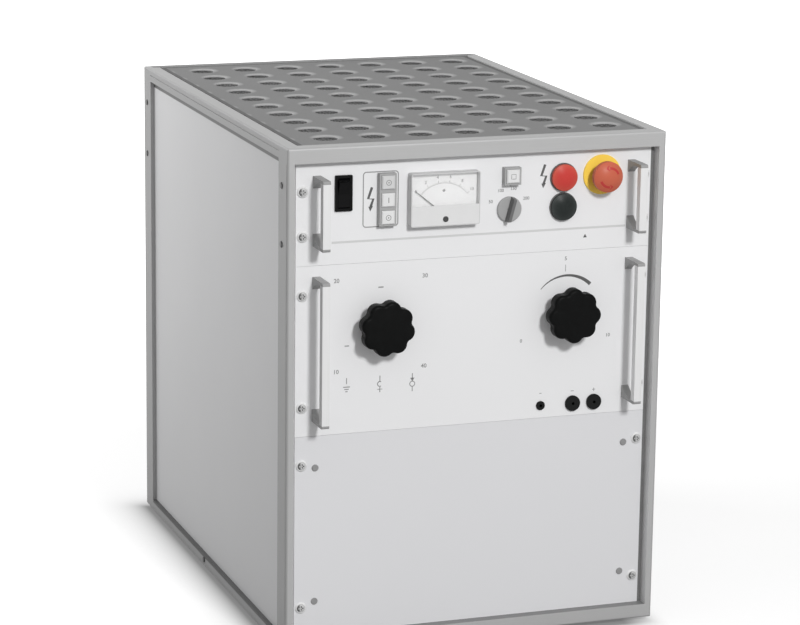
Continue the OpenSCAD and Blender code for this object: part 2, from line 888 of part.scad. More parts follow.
// Mains rocker: it turns on a pin behind the panel face
rocker_pivot = 3;
rocker_w = rocker_body_w - 6;
rocker_reach = rocker_frame_h/2 - 4;
rocker_room = rocker_pivot + rocker_reach*sin(rocker_tilt) + 7;
rocker_pin_r = 2;
rocker_pin_in = 1.4;

module breaker_frame() {
    frame_corner = 1.5;
    cavity_h = 2*(rocker_reach + clear);
    color("black") on_panel(rocker_x, control_z + rocker_z) difference() {
        union() {
            upright(-rocker_frame_proud, rocker_frame_proud)
                translate([-rocker_frame_w/2, -rocker_frame_h/2])
                    round_rect(rocker_frame_w, rocker_frame_h, frame_corner);
            upright(0, rocker_body_d) plate_outline(rocker_body_w, rocker_body_h);
        }
        upright(-rocker_frame_proud - over, rocker_frame_proud + over + rocker_room)
            plate_outline(rocker_w + 2*clear, cavity_h);
        translate([-rocker_w/2 - rocker_pin_in - 0.1 - clear, rocker_pivot, 0]) rotate([0, 90, 0])
            cylinder(h = rocker_w + 2*(rocker_pin_in + 0.1 + clear), r = rocker_pin_r + running);
    }
}

module breaker_rocker() {
    end_proud = rocker_reach*sin(rocker_tilt);
    color("black") on_panel(rocker_x, control_z + rocker_z) translate([0, rocker_pivot, 0])
        rotate([rocker_tilt, 0, 0]) {
            side_on(-rocker_w/2, rocker_w) intersection() {
                circle(rocker_reach);
                polygon([[-rocker_pivot - rocker_frame_proud - 0.5, 0],
                    [-rocker_pivot - rocker_frame_proud - end_proud - 0.5, rocker_reach],
                    [5, rocker_reach], [5, -rocker_reach],
                    [-rocker_pivot - rocker_frame_proud - end_proud - 0.5, -rocker_reach]]);
            }
            translate([-rocker_w/2 - rocker_pin_in - clear, 0, 0]) rotate([0, 90, 0])
                cylinder(h = rocker_w + 2*(rocker_pin_in + clear), r = rocker_pin_r);
        }
}

// Push buttons: a square cap slides in its frame, and its stem in the contact block
cap_size = button_size - 2*button_wall - 2*clear;
cap_back = 1;
stem_size = 6;
stem_l = 10;
button_floor = cap_back + button_travel + 1;
button_body_d = button_floor + stem_l + button_travel + 8;

module button_cavity() {
    upright(-button_frame_proud - over, button_frame_proud + over + button_floor)
        plate_outline(cap_size + 2*clear, cap_size + 2*clear);
    upright(button_floor - over, stem_l + button_travel + 2)
        plate_outline(stem_size + 2*clear, stem_size + 2*clear);
}

bank_places = [[bank_x, bank_z + button_size], [bank_x, bank_z], [bank_x, bank_z - button_size]];

module button_frames() {
    color("gray") {
        difference() {
            on_panel(bank_x, control_z + bank_z) {
                upright(-button_frame_proud, button_frame_proud) plate_outline(button_size, 3*button_size);
                upright(0, button_body_d) plate_outline(button_body, bank_body);
            }
            for (p = bank_places) on_panel(p[0], control_z + p[1]) button_cavity();
        }
        on_panel(single_x, control_z + single_z) difference() {
            union() {
                upright(-button_frame_proud, button_frame_proud) plate_outline(button_size, button_size);
                upright(0, button_body_d) plate_outline(button_body, button_body);
            }
            button_cavity();
        }
    }
}

module button_cap() {
    bevel = 1.4;
    color("gainsboro") {
        hull() {
            upright(-button_proud, bevel) plate_outline(cap_size - 2*bevel, cap_size - 2*bevel);
            upright(-button_proud + bevel, button_proud - bevel + cap_back) plate_outline(cap_size, cap_size);
        }
        upright(cap_back, stem_l) plate_outline(stem_size, stem_size);
    }
}

module upper_button() {
    on_panel(bank_places[0][0], control_z + bank_places[0][1]) button_cap();
}

module middle_button() {
    on_panel(bank_places[1][0], control_z + bank_places[1][1]) button_cap();
}

module lower_button() {
    on_panel(bank_places[2][0], control_z + bank_places[2][1]) button_cap();
}

module square_button() {
    on_panel(single_x, control_z + single_z) button_cap();
}

// Meter: its movement and dial stand on the floor of the case, its needle in front of the dial
meter_floor = 2;
pane_t = 1.5;
dial_t = 0.8;
dial_back = 5.2;
needle_gap = 1.6;
needle_t = 0.7;
needle_shaft_r = 0.9;
zero_r = 3.7;
zero_drop = 5;
case_in_w = meter_w - 2*meter_wall;
case_in_h = meter_h - 2*meter_wall;
cover_split = -case_in_h/2 + meter_cover_h;
dial_front = -dial_back - dial_t;
needle_y = dial_front - needle_gap;

module at_meter() {
    on_panel(meter_x, control_z + meter_z) children();
}

module meter_case() {
    corner = 2.5;
    color("dimgray") at_meter() {
        difference() {
            upright(-meter_proud, meter_proud) translate([-meter_w/2, -meter_h/2])
                round_rect(meter_w, meter_h, corner);
            upright(-meter_proud - over, meter_proud + over - meter_floor) plate_outline(case_in_w, case_in_h);
        }
        bar_y(0, barrel_d, barrel_r);
    }
}

module meter_cover() {
    color("silver") at_meter() difference() {
        upright(-meter_proud, pane_t) translate([-case_in_w/2, -case_in_h/2])
            square([case_in_w, meter_cover_h]);
        translate([0, 0, -pivot_drop - zero_drop])
            bar_y(-meter_proud - over, -meter_proud + pane_t + over, zero_r + running);
    }
}

module meter_window() {
    color("white", 0.4) at_meter() upright(-meter_proud, pane_t)
        translate([-case_in_w/2, cover_split]) square([case_in_w, case_in_h - meter_cover_h]);
}

module meter_dial() {
    margin = 1;
    color("white") at_meter() difference() {
        upright(dial_front, dial_t) plate_outline(case_in_w - 2*margin, case_in_h - 2*margin);
        translate([0, 0, -pivot_drop]) bar_y(dial_front - over, -dial_back + over, needle_shaft_r + 1);
    }
}

module meter_movement() {
    magnet_r = 12;
    color("darkgray") at_meter() translate([0, 0, -pivot_drop]) difference() {
        bar_y(-dial_back, -meter_floor, magnet_r);
        bar_y(-dial_back - over, -meter_floor - 0.4, needle_shaft_r + running);
    }
}

module meter_needle() {
    hub = 2.6;
    tail = 8;
    tip = 0.35;
    root = 0.8;
    color("black") at_meter() translate([0, 0, -pivot_drop]) rotate([0, -needle_half, 0]) {
        upright(needle_y - needle_t, needle_t) union() {
            circle(hub);
            polygon([[-root, -tail], [root, -tail], [root, 0], [tip, needle_l], [-tip, needle_l], [-root, 0]]);
        }
        bar_y(needle_y - needle_t/2, -meter_floor - 0.8, needle_shaft_r);
    }
}

module zero_screw() {
    head = 0.8;
    slot = 1.1;
    color("black") at_meter() translate([0, 0, -pivot_drop - zero_drop]) difference() {
        bar_y(-meter_proud - head, -meter_proud + pane_t, zero_r);
        upright(-meter_proud - head - over, over + head) plate_outline(2*zero_r + over, slot);
    }
}

// Selector: a bar handle turns on a spindle in the bezel's bore
bezel_t = 4;
spindle_r = 3;
selector_body = 28;
selector_body_d = 42;

module at_selector() {
    on_panel(selector_x, control_z + selector_z) children();
}

module selector_switch() {
    spindle_room = 22;
    bevel = 1;
    color("gray") at_selector() difference() {
        union() {
            turned() polygon([[0, -bezel_t], [selector_r - bevel, -bezel_t], [selector_r, -bezel_t + bevel],
                [selector_r, 0], [0, 0]]);
            bar_y(0, panel_t, selector_neck_r);
            upright(panel_t, selector_body_d - panel_t) plate_outline(selector_body, selector_body);
        }
        bar_y(-bezel_t - over, spindle_room, spindle_r + running);
    }
}

module selector_knob() {
    slab = 1;
    spindle_l = 20;
    bar_l = 2*selector_r;
    tip_w = selector_bar_w - 1.6;
    tip_l = bar_l - 4;
    back = -bezel_t - clear;
    color("dimgray") at_selector() rotate([0, selector_tilt, 0]) {
        hull() {
            upright(-selector_proud, slab) plate_outline(tip_w, tip_l);
            upright(back - slab, slab) plate_outline(selector_bar_w, bar_l);
        }
        bar_y(back - slab/2, spindle_l, spindle_r);
    }
}

// Lamps: a bezel through the panel holds a domed lens
lamp_places = [red_lamp_z, green_lamp_z];
lamp_floor = 1;

module lamp_housings() {
    bevel = 0.5;
    depth = 36;
    nut_r = 17;
    nut_t = 5;
    color("gray") for (z = lamp_places) on_panel(lamp_x, control_z + z) {
        turned() polygon([[0, -lamp_floor], [lens_r + clear, -lamp_floor], [lens_r + clear, -lamp_rim],
            [lamp_r - bevel, -lamp_rim], [lamp_r, -lamp_rim + bevel], [lamp_r, 0], [0, 0]]);
        bar_y(0, depth, lamp_neck_r);
        upright(panel_t, nut_t) circle(nut_r, $fn = 6);
    }
}

// A lens as a short cylinder under a spherical cap
module lens() {
    rise = lens_proud - lens_side;
    cap_r = (lens_r*lens_r + rise*rise)/(2*rise);
    turned() union() {
        translate([0, -lens_side]) square([lens_r, lens_side - lamp_floor]);
        intersection() {
            translate([0, cap_r - lens_proud]) circle(cap_r, $fn = 128);
            translate([0, -lens_proud]) square([lens_r, rise]);
        }
    }
}

module red_lens() {
    color("firebrick") on_panel(lamp_x, control_z + red_lamp_z) lens();
}

module green_lens() {
    color("darkslategray") on_panel(lamp_x, control_z + green_lamp_z) lens();
}

// Emergency stop: the stem slides in the neck, the mushroom head twists on the stem
estop_ring_r = 14;
estop_ring = 5;
stem_r = 5;
estop_body = 30;
estop_body_d = 44;
stem_back = 26;
head_cup = 8;

module at_estop() {
    on_panel(estop_x, control_z + estop_z) children();
}

module estop_collar() {
    bevel = 0.6;
    bore = estop_neck_r + clear;
    color("gold") at_estop() turned() polygon([[bore, 0], [collar_r, 0], [collar_r, -collar_t + bevel],
        [collar_r - bevel, -collar_t], [bore, -collar_t]]);
}

module estop_contacts() {
    color("dimgray") at_estop() difference() {
        union() {
            bar_y(-estop_ring, -collar_t, estop_ring_r);
            bar_y(-collar_t, panel_t, estop_neck_r);
            upright(panel_t, estop_body_d - panel_t) plate_outline(estop_body, estop_body);
        }
        bar_y(-estop_ring - over, stem_back + estop_travel + 2, stem_r + running);
    }
}

module estop_stem() {
    color("silver") at_estop() bar_y(-mushroom_back - head_cup, stem_back, stem_r);
}

module estop_mushroom() {
    crown = 7;
    cap_r = (mushroom_r*mushroom_r + crown*crown)/(2*crown);
    head_t = 15;
    neck_r = mushroom_r - 5;
    lip = 1;
    under = estop_proud - head_t;
    color("firebrick") at_estop() difference() {
        turned() intersection() {
            translate([0, cap_r - estop_proud]) circle(cap_r, $fn = 128);
            polygon([[0, -mushroom_back], [neck_r, -mushroom_back], [neck_r, -under],
                [mushroom_r - lip, -under], [mushroom_r, -under - lip],
                [mushroom_r, -estop_proud], [0, -estop_proud]]);
        }
        bar_y(-mushroom_back - head_cup - 0.2, -mushroom_back + over, stem_r + running);
    }
}

// Large knobs: lobes and valleys are arcs that meet at a tangent
lobe_ring = knob_r - lobe_r;
lobe_step = 360/knob_lobes;
valley_half = lobe_ring*cos(lobe_step/2);
valley_ring = valley_half
    + sqrt(pow(lobe_r + valley_r, 2) - pow(lobe_ring*sin(lobe_step/2), 2));
touch = [lobe_ring, 0] + ([valley_ring*cos(lobe_step/2), valley_ring*sin(lobe_step/2)] - [lobe_ring, 0])
    *lobe_r/(lobe_r + valley_r);

module knob_outline() {
    difference() {
        union() {
            circle(norm(touch));
            for (i = [0:knob_lobes - 1]) rotate(i*lobe_step) translate([lobe_ring, 0]) circle(lobe_r);
        }
        for (i = [0:knob_lobes - 1]) rotate((i + 0.5)*lobe_step) translate([valley_ring, 0]) circle(valley_r);
    }
}

module large_knob() {
    round = 4;
    back_round = 2;
    hub_gap = 1;
    bore_end = knob_proud - 6;
    thick = knob_proud - knob_back;
    difference() {
        union() {
            intersection() {
                upright(-knob_proud, thick) knob_outline();
                turned() union() {
                    translate([0, -knob_proud]) square([knob_r - round, thick]);
                    translate([0, -knob_proud + round]) square([knob_r, thick - round - back_round]);
                    translate([knob_r - round, -knob_proud + round]) circle(round);
                    translate([knob_r - round, -knob_back - back_round])
                        square([round - back_round, back_round]);
                    translate([knob_r - back_round, -knob_back - back_round]) circle(back_round);
                }
            }
            bar_y(-knob_back - over, -hub_gap, hub_r);
        }
        bar_y(-bore_end, 0, shaft_r + running);
    }
}

module knob_place(s) {
    on_panel(s*knob_x, stage_z + knob_z) children();
}

module stage_knob() {
    color("black") knob_place(-1) large_knob();
}

module voltage_knob() {
    color("black") knob_place(1) large_knob();
}

// Rotary switch: two wafers with four contacts each, on pillars behind the panel
pillar_r = 3;
pillar_at = wafer_w/2 - 8;
plate_t = 3;
stud_r = 4;
stud_l = 5;
wafers = [switch_d*0.45, switch_d - wafer_t];
knob_shaft_front = -knob_proud + 8;

module stage_switch() {
    hole_r = 14;
    color("saddlebrown") knob_place(-1) {
        difference() {
            union() {
                bar_y(0, panel_t + 10, bush_r);
                upright(panel_t, plate_t) plate_outline(wafer_w, wafer_w);
                for (x = [-1, 1]) for (z = [-1, 1]) translate([x*pillar_at, 0, z*pillar_at])
                    bar_y(panel_t + plate_t - over, switch_d, pillar_r);
            }
            bar_y(-over, panel_t + 10 + over, shaft_r + running);
        }
        for (y = wafers) difference() {
            union() {
                upright(y, wafer_t) plate_outline(wafer_w, wafer_w);
                for (a = [45:90:315]) rotate([0, a, 0]) translate([0, 0, contact_ring])
                    bar_y(y - stud_l, y + wafer_t, stud_r);
            }
            bar_y(y - over, y + wafer_t + over, hole_r);
        }
    }
}

// An arm from a shaft out to a radius, from y0 to y1
module shaft_arm(y0, y1, r, w) {
    upright(y0, y1 - y0) union() {
        circle(shaft_r + 4);
        translate([-w/2, 0]) square([w, r]);
    }
}

module stage_shaft() {
    arm_w = 8;
    arm_t = 3;
    arm_gap = 0.5;
    color("silver") knob_place(-1) {
        bar_y(knob_shaft_front, switch_d, shaft_r);
        for (y = wafers) rotate([0, -135, 0])
            shaft_arm(y - stud_l - arm_gap - arm_t, y - stud_l - arm_gap, contact_ring + 2, arm_w);
    }
}

// Variable transformer: a ring winding on a base plate, swept by a brush on the shaft
variac_gap = 12;
variac_front = panel_t + variac_gap;

module variac() {
    corner = 6;
    color("peru") knob_place(1) {
        difference() {
            union() {
                bar_y(0, panel_t + 10, bush_r);
                bar_y(panel_t, panel_t + plate_t, variac_r - corner);
                for (a = [30:120:270]) rotate([0, a, 0]) translate([0, 0, (variac_r + variac_bore)/2])
                    bar_y(panel_t + plate_t - over, variac_front + over, stud_r);
            }
            bar_y(-over, panel_t + 10 + over, shaft_r + running);
        }
        translate([0, variac_front, 0]) turned() translate([variac_bore, 0])
            round_rect(variac_r - variac_bore, variac_l, corner);
    }
}

module voltage_shaft() {
    arm_w = 12;
    arm_t = 4;
    arm_gap = 0.5;
    y = variac_front + variac_l + arm_gap;
    color("silver") knob_place(1) {
        bar_y(knob_shaft_front, y + arm_t + 6, shaft_r);
        rotate([0, -120, 0]) shaft_arm(y, y + arm_t, (variac_r + variac_bore)/2, arm_w);
    }
}

// Sockets

// A socket of outer radius r that stands proud, with a neck through the panel and a nut behind
module socket(r, proud, neck_r) {
    bevel = 0.8;
    nut_t = 4;
    depth = plug_hole_l - proud + 4;
    difference() {
        union() {
            turned() polygon([[0, -proud], [r - bevel, -proud], [r, -proud + bevel], [r, 0], [0, 0]]);
            bar_y(0, depth, neck_r);
            upright(panel_t, nut_t) circle(neck_r*1.5, $fn = 6);
        }
        bar_y(-proud - over, -proud + plug_hole_l, plug_hole_r);
    }
}

module earth_socket() {
    color("dimgray") on_panel(earth_x, stage_z + socket_z) socket(earth_r, earth_proud, earth_neck_r);
}

module output_sockets() {
    color("black") for (i = [0, 1])
        on_panel(output_x + i*output_pitch, stage_z + socket_z) socket(output_r, output_proud, socket_neck_r);
}

// Inside the cabinet

shelf_y0 = strip_y + strip_t;
shelf_y1 = rear_strip_y;

module equipment_shelf() {
    flange_x = hole_x - square_hole/2 - 1;
    x = post_in - clear;
    notch = 12;
    color("silver") difference() {
        union() {
            block([-x, shelf_y0, shelf_z], [x, shelf_y1, shelf_top]);
            block([-x, shelf_y0, shelf_z], [x, shelf_y0 + shelf_t, shelf_z + shelf_flange]);
            block([-x, shelf_y1 - shelf_t, shelf_z], [x, shelf_y1, shelf_z + shelf_flange]);
        }
        both_sides() block([-x - over, shelf_y0 - over, shelf_z - over],
            [-flange_x, shelf_y0 + notch, shelf_z + shelf_flange + over]);
    }
}

module hv_transformer() {
    yoke = 24;
    bushing_r = 12;
    bushing_h = 46;
    coil_out = 16;
    color("darkslategray") translate([transformer_x, back_y - transformer_in, base_top]) {
        difference() {
            translate([-transformer_w/2, -transformer_d/4, 0])
                cube([transformer_w, transformer_d/2, transformer_h]);
            for (s = [-1, 1]) translate([s*transformer_w/4 - 0.05*transformer_w, -transformer_d, yoke])
                cube([0.1*transformer_w, 2*transformer_d, transformer_h - 2*yoke]);
        }
        translate([-transformer_w/5, -transformer_d/2, yoke])
            cube([0.4*transformer_w, transformer_d, transformer_h - 2*yoke]);
        for (s = [-1, 1]) translate([s*coil_out, 0, transformer_h - over])
            cylinder(h = bushing_h + over, r1 = bushing_r, r2 = bushing_r/2);
    }
}

module impulse_capacitors() {
    stud_h = 14;
    rim = 4;
    terminal_r = 6;
    color("steelblue") for (i = [0:3])
        translate([(i - 1.5)*capacitor_pitch, front_y + capacitor_in, base_top]) rotate_extrude()
            polygon([[0, 0], [capacitor_r, 0], [capacitor_r, capacitor_h - rim],
                [capacitor_r - rim, capacitor_h], [terminal_r, capacitor_h],
                [terminal_r, capacitor_h + stud_h], [0, capacitor_h + stud_h]]);
}

module wave_resistors() {
    stand_h = 30;
    stand_t = 4;
    color("tan") for (i = [0:3]) translate([resistor_x + i*resistor_pitch, front_y + resistor_in, shelf_top]) {
        translate([0, 0, stand_h]) bar_y(-resistor_l/2, resistor_l/2, resistor_r);
        for (s = [-1, 1]) translate([-resistor_r*0.7, s*(resistor_l/2 - 12) - stand_t/2, 0])
            cube([resistor_r*1.4, stand_t, stand_h]);
    }
}

module rectifier_stack() {
    base = 6;
    w = 90;
    d = 60;
    rod_r = 9;
    rod_h = 120;
    rod_step = 30;
    color("ivory") translate([rectifier_x, back_y - rectifier_in, shelf_top]) {
        translate([-w/2, -d/2, 0]) cube([w, d, base]);
        for (i = [-1:1]) translate([i*rod_step, 0, base - over]) cylinder(h = rod_h, r = rod_r);
    }
}

module control_board() {
    t = 1.6;
    stand_h = 8;
    stand_r = 3.5;
    inset = 8;
    color("darkgreen") translate([board_x, front_y + board_in, shelf_top]) {
        for (x = [-1, 1]) for (y = [-1, 1]) translate([x*(board_w/2 - inset), y*(board_d/2 - inset), 0])
            cylinder(h = stand_h + t/2, r = stand_r);
        translate([-board_w/2, -board_d/2, stand_h]) cube([board_w, board_d, t]);
        for (p = [[-60, 30, 16, 30, 18], [-20, -30, 24, 24, 12], [30, 20, 20, 40, 26], [60, -35, 30, 16, 14]])
            translate([p[0], p[1], stand_h]) cube([p[2], p[3], p[4]]);
    }
}

// Mains inlet: a recess with three flat pins, open to the back
inlet_depth = 26;
inlet_recess = 18;
inlet_wall = 2;
inlet_pin_l = 12;

module mains_inlet() {
    flange_t = 3;
    pin_t = 2;
    pin_h = 4;
    pin_step = 7;
    floor_y = flange_t - inlet_recess;
    color("black") translate([inlet_x, rear_sheet_y + sheet_t, opening_z + inlet_z]) {
        difference() {
            union() {
                upright(0, flange_t) plate_outline(inlet_flange_w, inlet_flange_h);
                upright(flange_t - inlet_depth, inlet_depth - flange_t) plate_outline(inlet_body_w, inlet_body_h);
            }
            upright(floor_y, inlet_recess + over)
                plate_outline(inlet_body_w - 2*inlet_wall, inlet_body_h - 2*inlet_wall);
        }
        for (p = [[-pin_step, -2], [0, 2], [pin_step, -2]]) translate([p[0], 0, p[1]])
            upright(floor_y - over, inlet_pin_l + over) plate_outline(pin_t, pin_h);
    }
}

front_posts();
rear_posts();
cross_rails();
side_rails();
side_panel_left();
side_panel_right();
rear_panel();
top_cover();
vent_screen();
base_plate();
feet();
rack_strips();
cage_nuts();
control_panel();
stage_panel();
blank_panel();
rack_screws();
cup_washers();
hole_plugs();
case_screws();
handle_brackets();
handle_grips();
breaker_frame();
breaker_rocker();
button_frames();
upper_button();
middle_button();
lower_button();
square_button();
meter_case();
meter_cover();
meter_window();
meter_dial();
meter_movement();
meter_needle();
zero_screw();
selector_switch();
selector_knob();
lamp_housings();
red_lens();
green_lens();
estop_collar();
estop_contacts();
estop_stem();
estop_mushroom();
stage_knob();
stage_shaft();
stage_switch();
voltage_knob();
voltage_shaft();
variac();
earth_socket();
output_sockets();
equipment_shelf();
hv_transformer();
impulse_capacitors();
wave_resistors();
rectifier_stack();
control_board();
mains_inlet();
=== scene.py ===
"""Impulse voltage generator: the looks of a bench cabinet for 19-inch panels.

Metres, +Z up, and the front faces -Y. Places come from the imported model. Printed marks, screws
and the wire screen are surfaces worked out with numpy, and each finish has its own function.
"""
import math

import bmesh
import bpy
import numpy as np
from mathutils import Matrix, Vector


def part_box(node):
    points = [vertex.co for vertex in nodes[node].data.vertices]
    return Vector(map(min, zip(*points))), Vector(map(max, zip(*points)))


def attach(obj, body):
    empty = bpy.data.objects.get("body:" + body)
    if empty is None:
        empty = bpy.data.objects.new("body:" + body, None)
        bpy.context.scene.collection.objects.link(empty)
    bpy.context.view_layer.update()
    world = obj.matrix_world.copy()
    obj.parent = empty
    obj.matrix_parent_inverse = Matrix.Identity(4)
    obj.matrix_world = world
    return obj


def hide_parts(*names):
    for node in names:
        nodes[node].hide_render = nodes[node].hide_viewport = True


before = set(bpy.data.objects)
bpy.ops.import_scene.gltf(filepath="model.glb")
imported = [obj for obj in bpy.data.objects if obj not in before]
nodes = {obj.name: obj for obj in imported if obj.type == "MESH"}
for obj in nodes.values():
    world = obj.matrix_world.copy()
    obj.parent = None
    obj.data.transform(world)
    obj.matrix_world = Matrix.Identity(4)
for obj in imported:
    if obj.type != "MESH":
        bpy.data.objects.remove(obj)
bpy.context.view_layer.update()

MM = 0.001


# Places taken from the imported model

def corners(node):
    """Lowest and highest corner of a CAD node as arrays, in metres."""
    low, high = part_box(node)
    return np.array(low), np.array(high)


def middle(node):
    low, high = corners(node)
    return (low + high)/2


FACE_Y = corners("stage_panel")[0][1]
CONTROL_Z = corners("control_panel")[0][2]
STAGE_Z = corners("stage_panel")[0][2]


def placed(name, data):
    """A new object in the scene, at the origin."""
    made = bpy.data.objects.new(name, data)
    bpy.context.scene.collection.objects.link(made)
    return made


# Camera and lights

def photograph_camera():
    """The camera that matches the photograph: it looks along its azimuth and pitch, a little
    rolled, from `away` behind a point in front of the panels, moved aside and up in its own
    frame."""
    azimuth, pitch, roll = np.radians([19.44, 13.25, 0.74])
    aside, above, away = -98.8*MM, 103.7*MM, 3922*MM
    focal_pixels, image_width = 3038, 800
    half_opening = 311*MM
    ahead = np.array([np.sin(azimuth)*np.cos(pitch), np.cos(azimuth)*np.cos(pitch), -np.sin(pitch)])
    level = np.array([np.cos(azimuth), -np.sin(azimuth), 0])
    upward = np.cross(level, ahead)
    right = np.cos(roll)*level + np.sin(roll)*upward
    up = np.cos(roll)*upward - np.sin(roll)*level
    target_z = corners("rack_strips")[0][2] + half_opening
    target = np.array([0, corners("front_posts")[0][1], target_z])
    place = target + aside*right + above*up - away*ahead
    data = bpy.data.cameras.new("camera")
    data.sensor_width = 36
    data.lens = focal_pixels/image_width*data.sensor_width
    data.clip_end = 60
    camera = placed("camera", data)
    turned = Matrix((right, up, -ahead)).transposed().to_4x4()
    camera.matrix_world = Matrix.Translation(place) @ turned
    bpy.context.scene.camera = camera


def lamp(name, place, target, energy, **settings):
    """An area lamp at `place` that looks at `target`."""
    data = bpy.data.lights.new(name, "AREA")
    data.energy = energy
    for key, value in settings.items():
        setattr(data, key, value)
    holder = placed(name, data)
    holder.location = place
    holder.rotation_euler = (Vector(target) - Vector(place)).to_track_quat("-Z", "Y").to_euler()


def studio_lights():
    """A soft key in front, above and a little to the right, and a fill on the left rear."""
    lamp("key", place=(0.2, -4.24, 2.6), target=(0, -0.3, 0.4), energy=124, shape="DISK", size=0.62)
    lamp("fill", place=(-1.3, 1.1, 1.3), target=(-0.25, 0.3, 0.5), energy=14, size=0.9)


# Shader maths

def join(socket, value):
    """Links a wire to a socket, or sets the socket's own value."""
    if isinstance(value, Wire):
        value.finish.tree.links.new(value.socket, socket)
    elif socket.type == "RGBA" and len(value) == 3:
        socket.default_value = (*value, 1)
    else:
        socket.default_value = value


class Wire:
    """One value in a shader. Arithmetic on it adds Math nodes."""

    def __init__(self, finish, socket):
        self.finish = finish
        self.socket = socket

    def maths(self, operation, *others):
        values = dict(enumerate((self, *others)))
        return self.finish.node("Math", {"operation": operation}, values)

    def __add__(self, other):
        return self.maths("ADD", other)

    def __sub__(self, other):
        return self.maths("SUBTRACT", other)

    def __mul__(self, other):
        return self.maths("MULTIPLY", other)

    def __truediv__(self, other):
        return self.maths("DIVIDE", other)

    def __neg__(self):
        return self*-1

    def __gt__(self, other):
        return self.maths("GREATER_THAN", other)

    __radd__ = __add__
    __rmul__ = __mul__

    def root(self):
        return self.maths("SQRT")

    def larger(self, other):
        return self.maths("MAXIMUM", other)

    def ripple(self, pitch):
        """A sine between 0 and 1 that repeats every `pitch`."""
        return (self*(2*math.pi/pitch)).maths("SINE")*0.5 + 0.5

    def within(self):
        """The value held between 0 and 1."""
        return self.larger(0.0).maths("MINIMUM", 1.0)

    def past(self, limit, soft=1*MM):
        """0 below a limit and 1 above it, with a slope `soft` wide between them."""
        return ((self - limit)*(1/soft) + 0.5).within()


def length(first, second):
    """The length of a line whose two parts are wires."""
    return (first*first + second*second).root()


def tone(red, green, blue):
    """A colour written as it shows on screen, turned into the linear values that shaders use."""
    shown = np.array([red, green, blue])/255
    return tuple(np.where(shown <= 0.04045, shown/12.92, ((shown + 0.055)/1.055)**2.4))


def grey(level):
    return tone(level, level, level)


def scaled(colour, factor):
    return tuple(min(1, c*factor) for c in colour)


class Finish:
    """A material in the making, or the world: its node tree and the methods that add nodes."""

    def __init__(self, name, owner=None):
        self.owner = owner or bpy.data.materials.new(name)
        self.owner.use_nodes = True
        self.tree = self.owner.node_tree
        self.tree.nodes.clear()

    def node(self, kind, settings=None, values=None, output=0):
        """Adds a node, sets it up, feeds its sockets by name or number, and returns one output."""
        made = self.tree.nodes.new("ShaderNode" + kind)
        for key, value in (settings or {}).items():
            setattr(made, key, value)
        for key, value in (values or {}).items():
            join(made.inputs[key], value)
        return Wire(self, made.outputs[output])

    def place(self, stretch=(1, 1, 1), centre=(0, 0, 0)):
        """Object coordinates, moved so that `centre` is at zero, then multiplied by `stretch`."""
        point = self.node("TexCoord", output="Object")
        shift = {"Vector": point, "Location": tuple(-c for c in centre)}
        moved = self.node("Mapping", {"vector_type": "POINT"}, shift)
        return self.node("Mapping", {"vector_type": "POINT"}, {"Vector": moved, "Scale": stretch})

    def axes(self, place):
        """The three parts of a place as wires."""
        return [self.node("SeparateXYZ", values={"Vector": place}, output=i) for i in range(3)]

    def facing(self):
        """The three parts of the surface's direction as wires."""
        return self.axes(self.node("TexCoord", output="Normal"))

    def from_axis(self, centre):
        """The distance from the axis that runs through `centre` along y."""
        x, _, z = self.axes(self.place(centre=centre))
        return length(x, z)

    def noise(self, place, size, detail):
        """Noise from about 0.3 to 0.7 whose spots are about `size` metres across."""
        return self.node("TexNoise", values={"Vector": place, "Scale": 1/size, "Detail": detail})

    def mix(self, factor, first, second):
        """Goes from one colour to another. A Mix node has its colours at the sockets 6 and 7."""
        return self.node("Mix", {"data_type": "RGBA"}, {0: factor, 6: first, 7: second}, output=2)

    def grained(self, factor, colour, darker, paler):
        """A colour that varies with `factor` between two multiples of itself."""
        return self.mix(factor, scaled(colour, darker), scaled(colour, paler))

    def bump(self, height, depth, strength=1.0):
        return self.node("Bump", values={"Height": height, "Distance": depth, "Strength": strength})

    def seen_directly(self):
        """1 for the camera, reflections and clear panes, and 0 for bounced light."""
        camera, glossy, clear = [self.node("LightPath", output="Is %s Ray" % kind)
                                 for kind in ("Camera", "Glossy", "Transmission")]
        return camera.larger(glossy).larger(clear)

    def shade(self, **values):
        """Ends the material in a Principled shader. Underscores in names stand for spaces."""
        named = {key.replace("_", " "): value for key, value in values.items()}
        return self.end(self.node("BsdfPrincipled", values=named))

    def end(self, surface, kind="OutputMaterial"):
        """Joins the last shader to the output, and returns the material or the world."""
        made = self.tree.nodes.new("ShaderNode" + kind)
        join(made.inputs["Surface"], surface)
        return self.owner


# Finishes

# Painted shade along the edges of the sheets: the shadow lines at their gaps by the rails
SHADE_LINE_COLOUR = grey(84)


def powder_coat(name, colour, rough=0.5, grain=0.9*MM, depth=0.05*MM, spread=0.035, marks=None):
    """Sprayed and baked paint: fine orange peel, and a colour that drifts a little over the sheet.
    `marks` paints light and shade into the colour by place."""
    f = Finish(name)
    place = f.place()
    drift = f.noise(place, 0.14, 3)
    peel = f.noise(place, grain, 3)
    colour = f.grained(drift*0.7 + peel*0.3, colour, 1 - spread, 1 + spread)
    if marks:
        colour = marks(f, f.axes(place), colour)
    return f.shade(Base_Color=colour, Roughness=rough + (peel - 0.5)*0.16,
                   Normal=f.bump(peel, depth), Specular_IOR_Level=0.35)


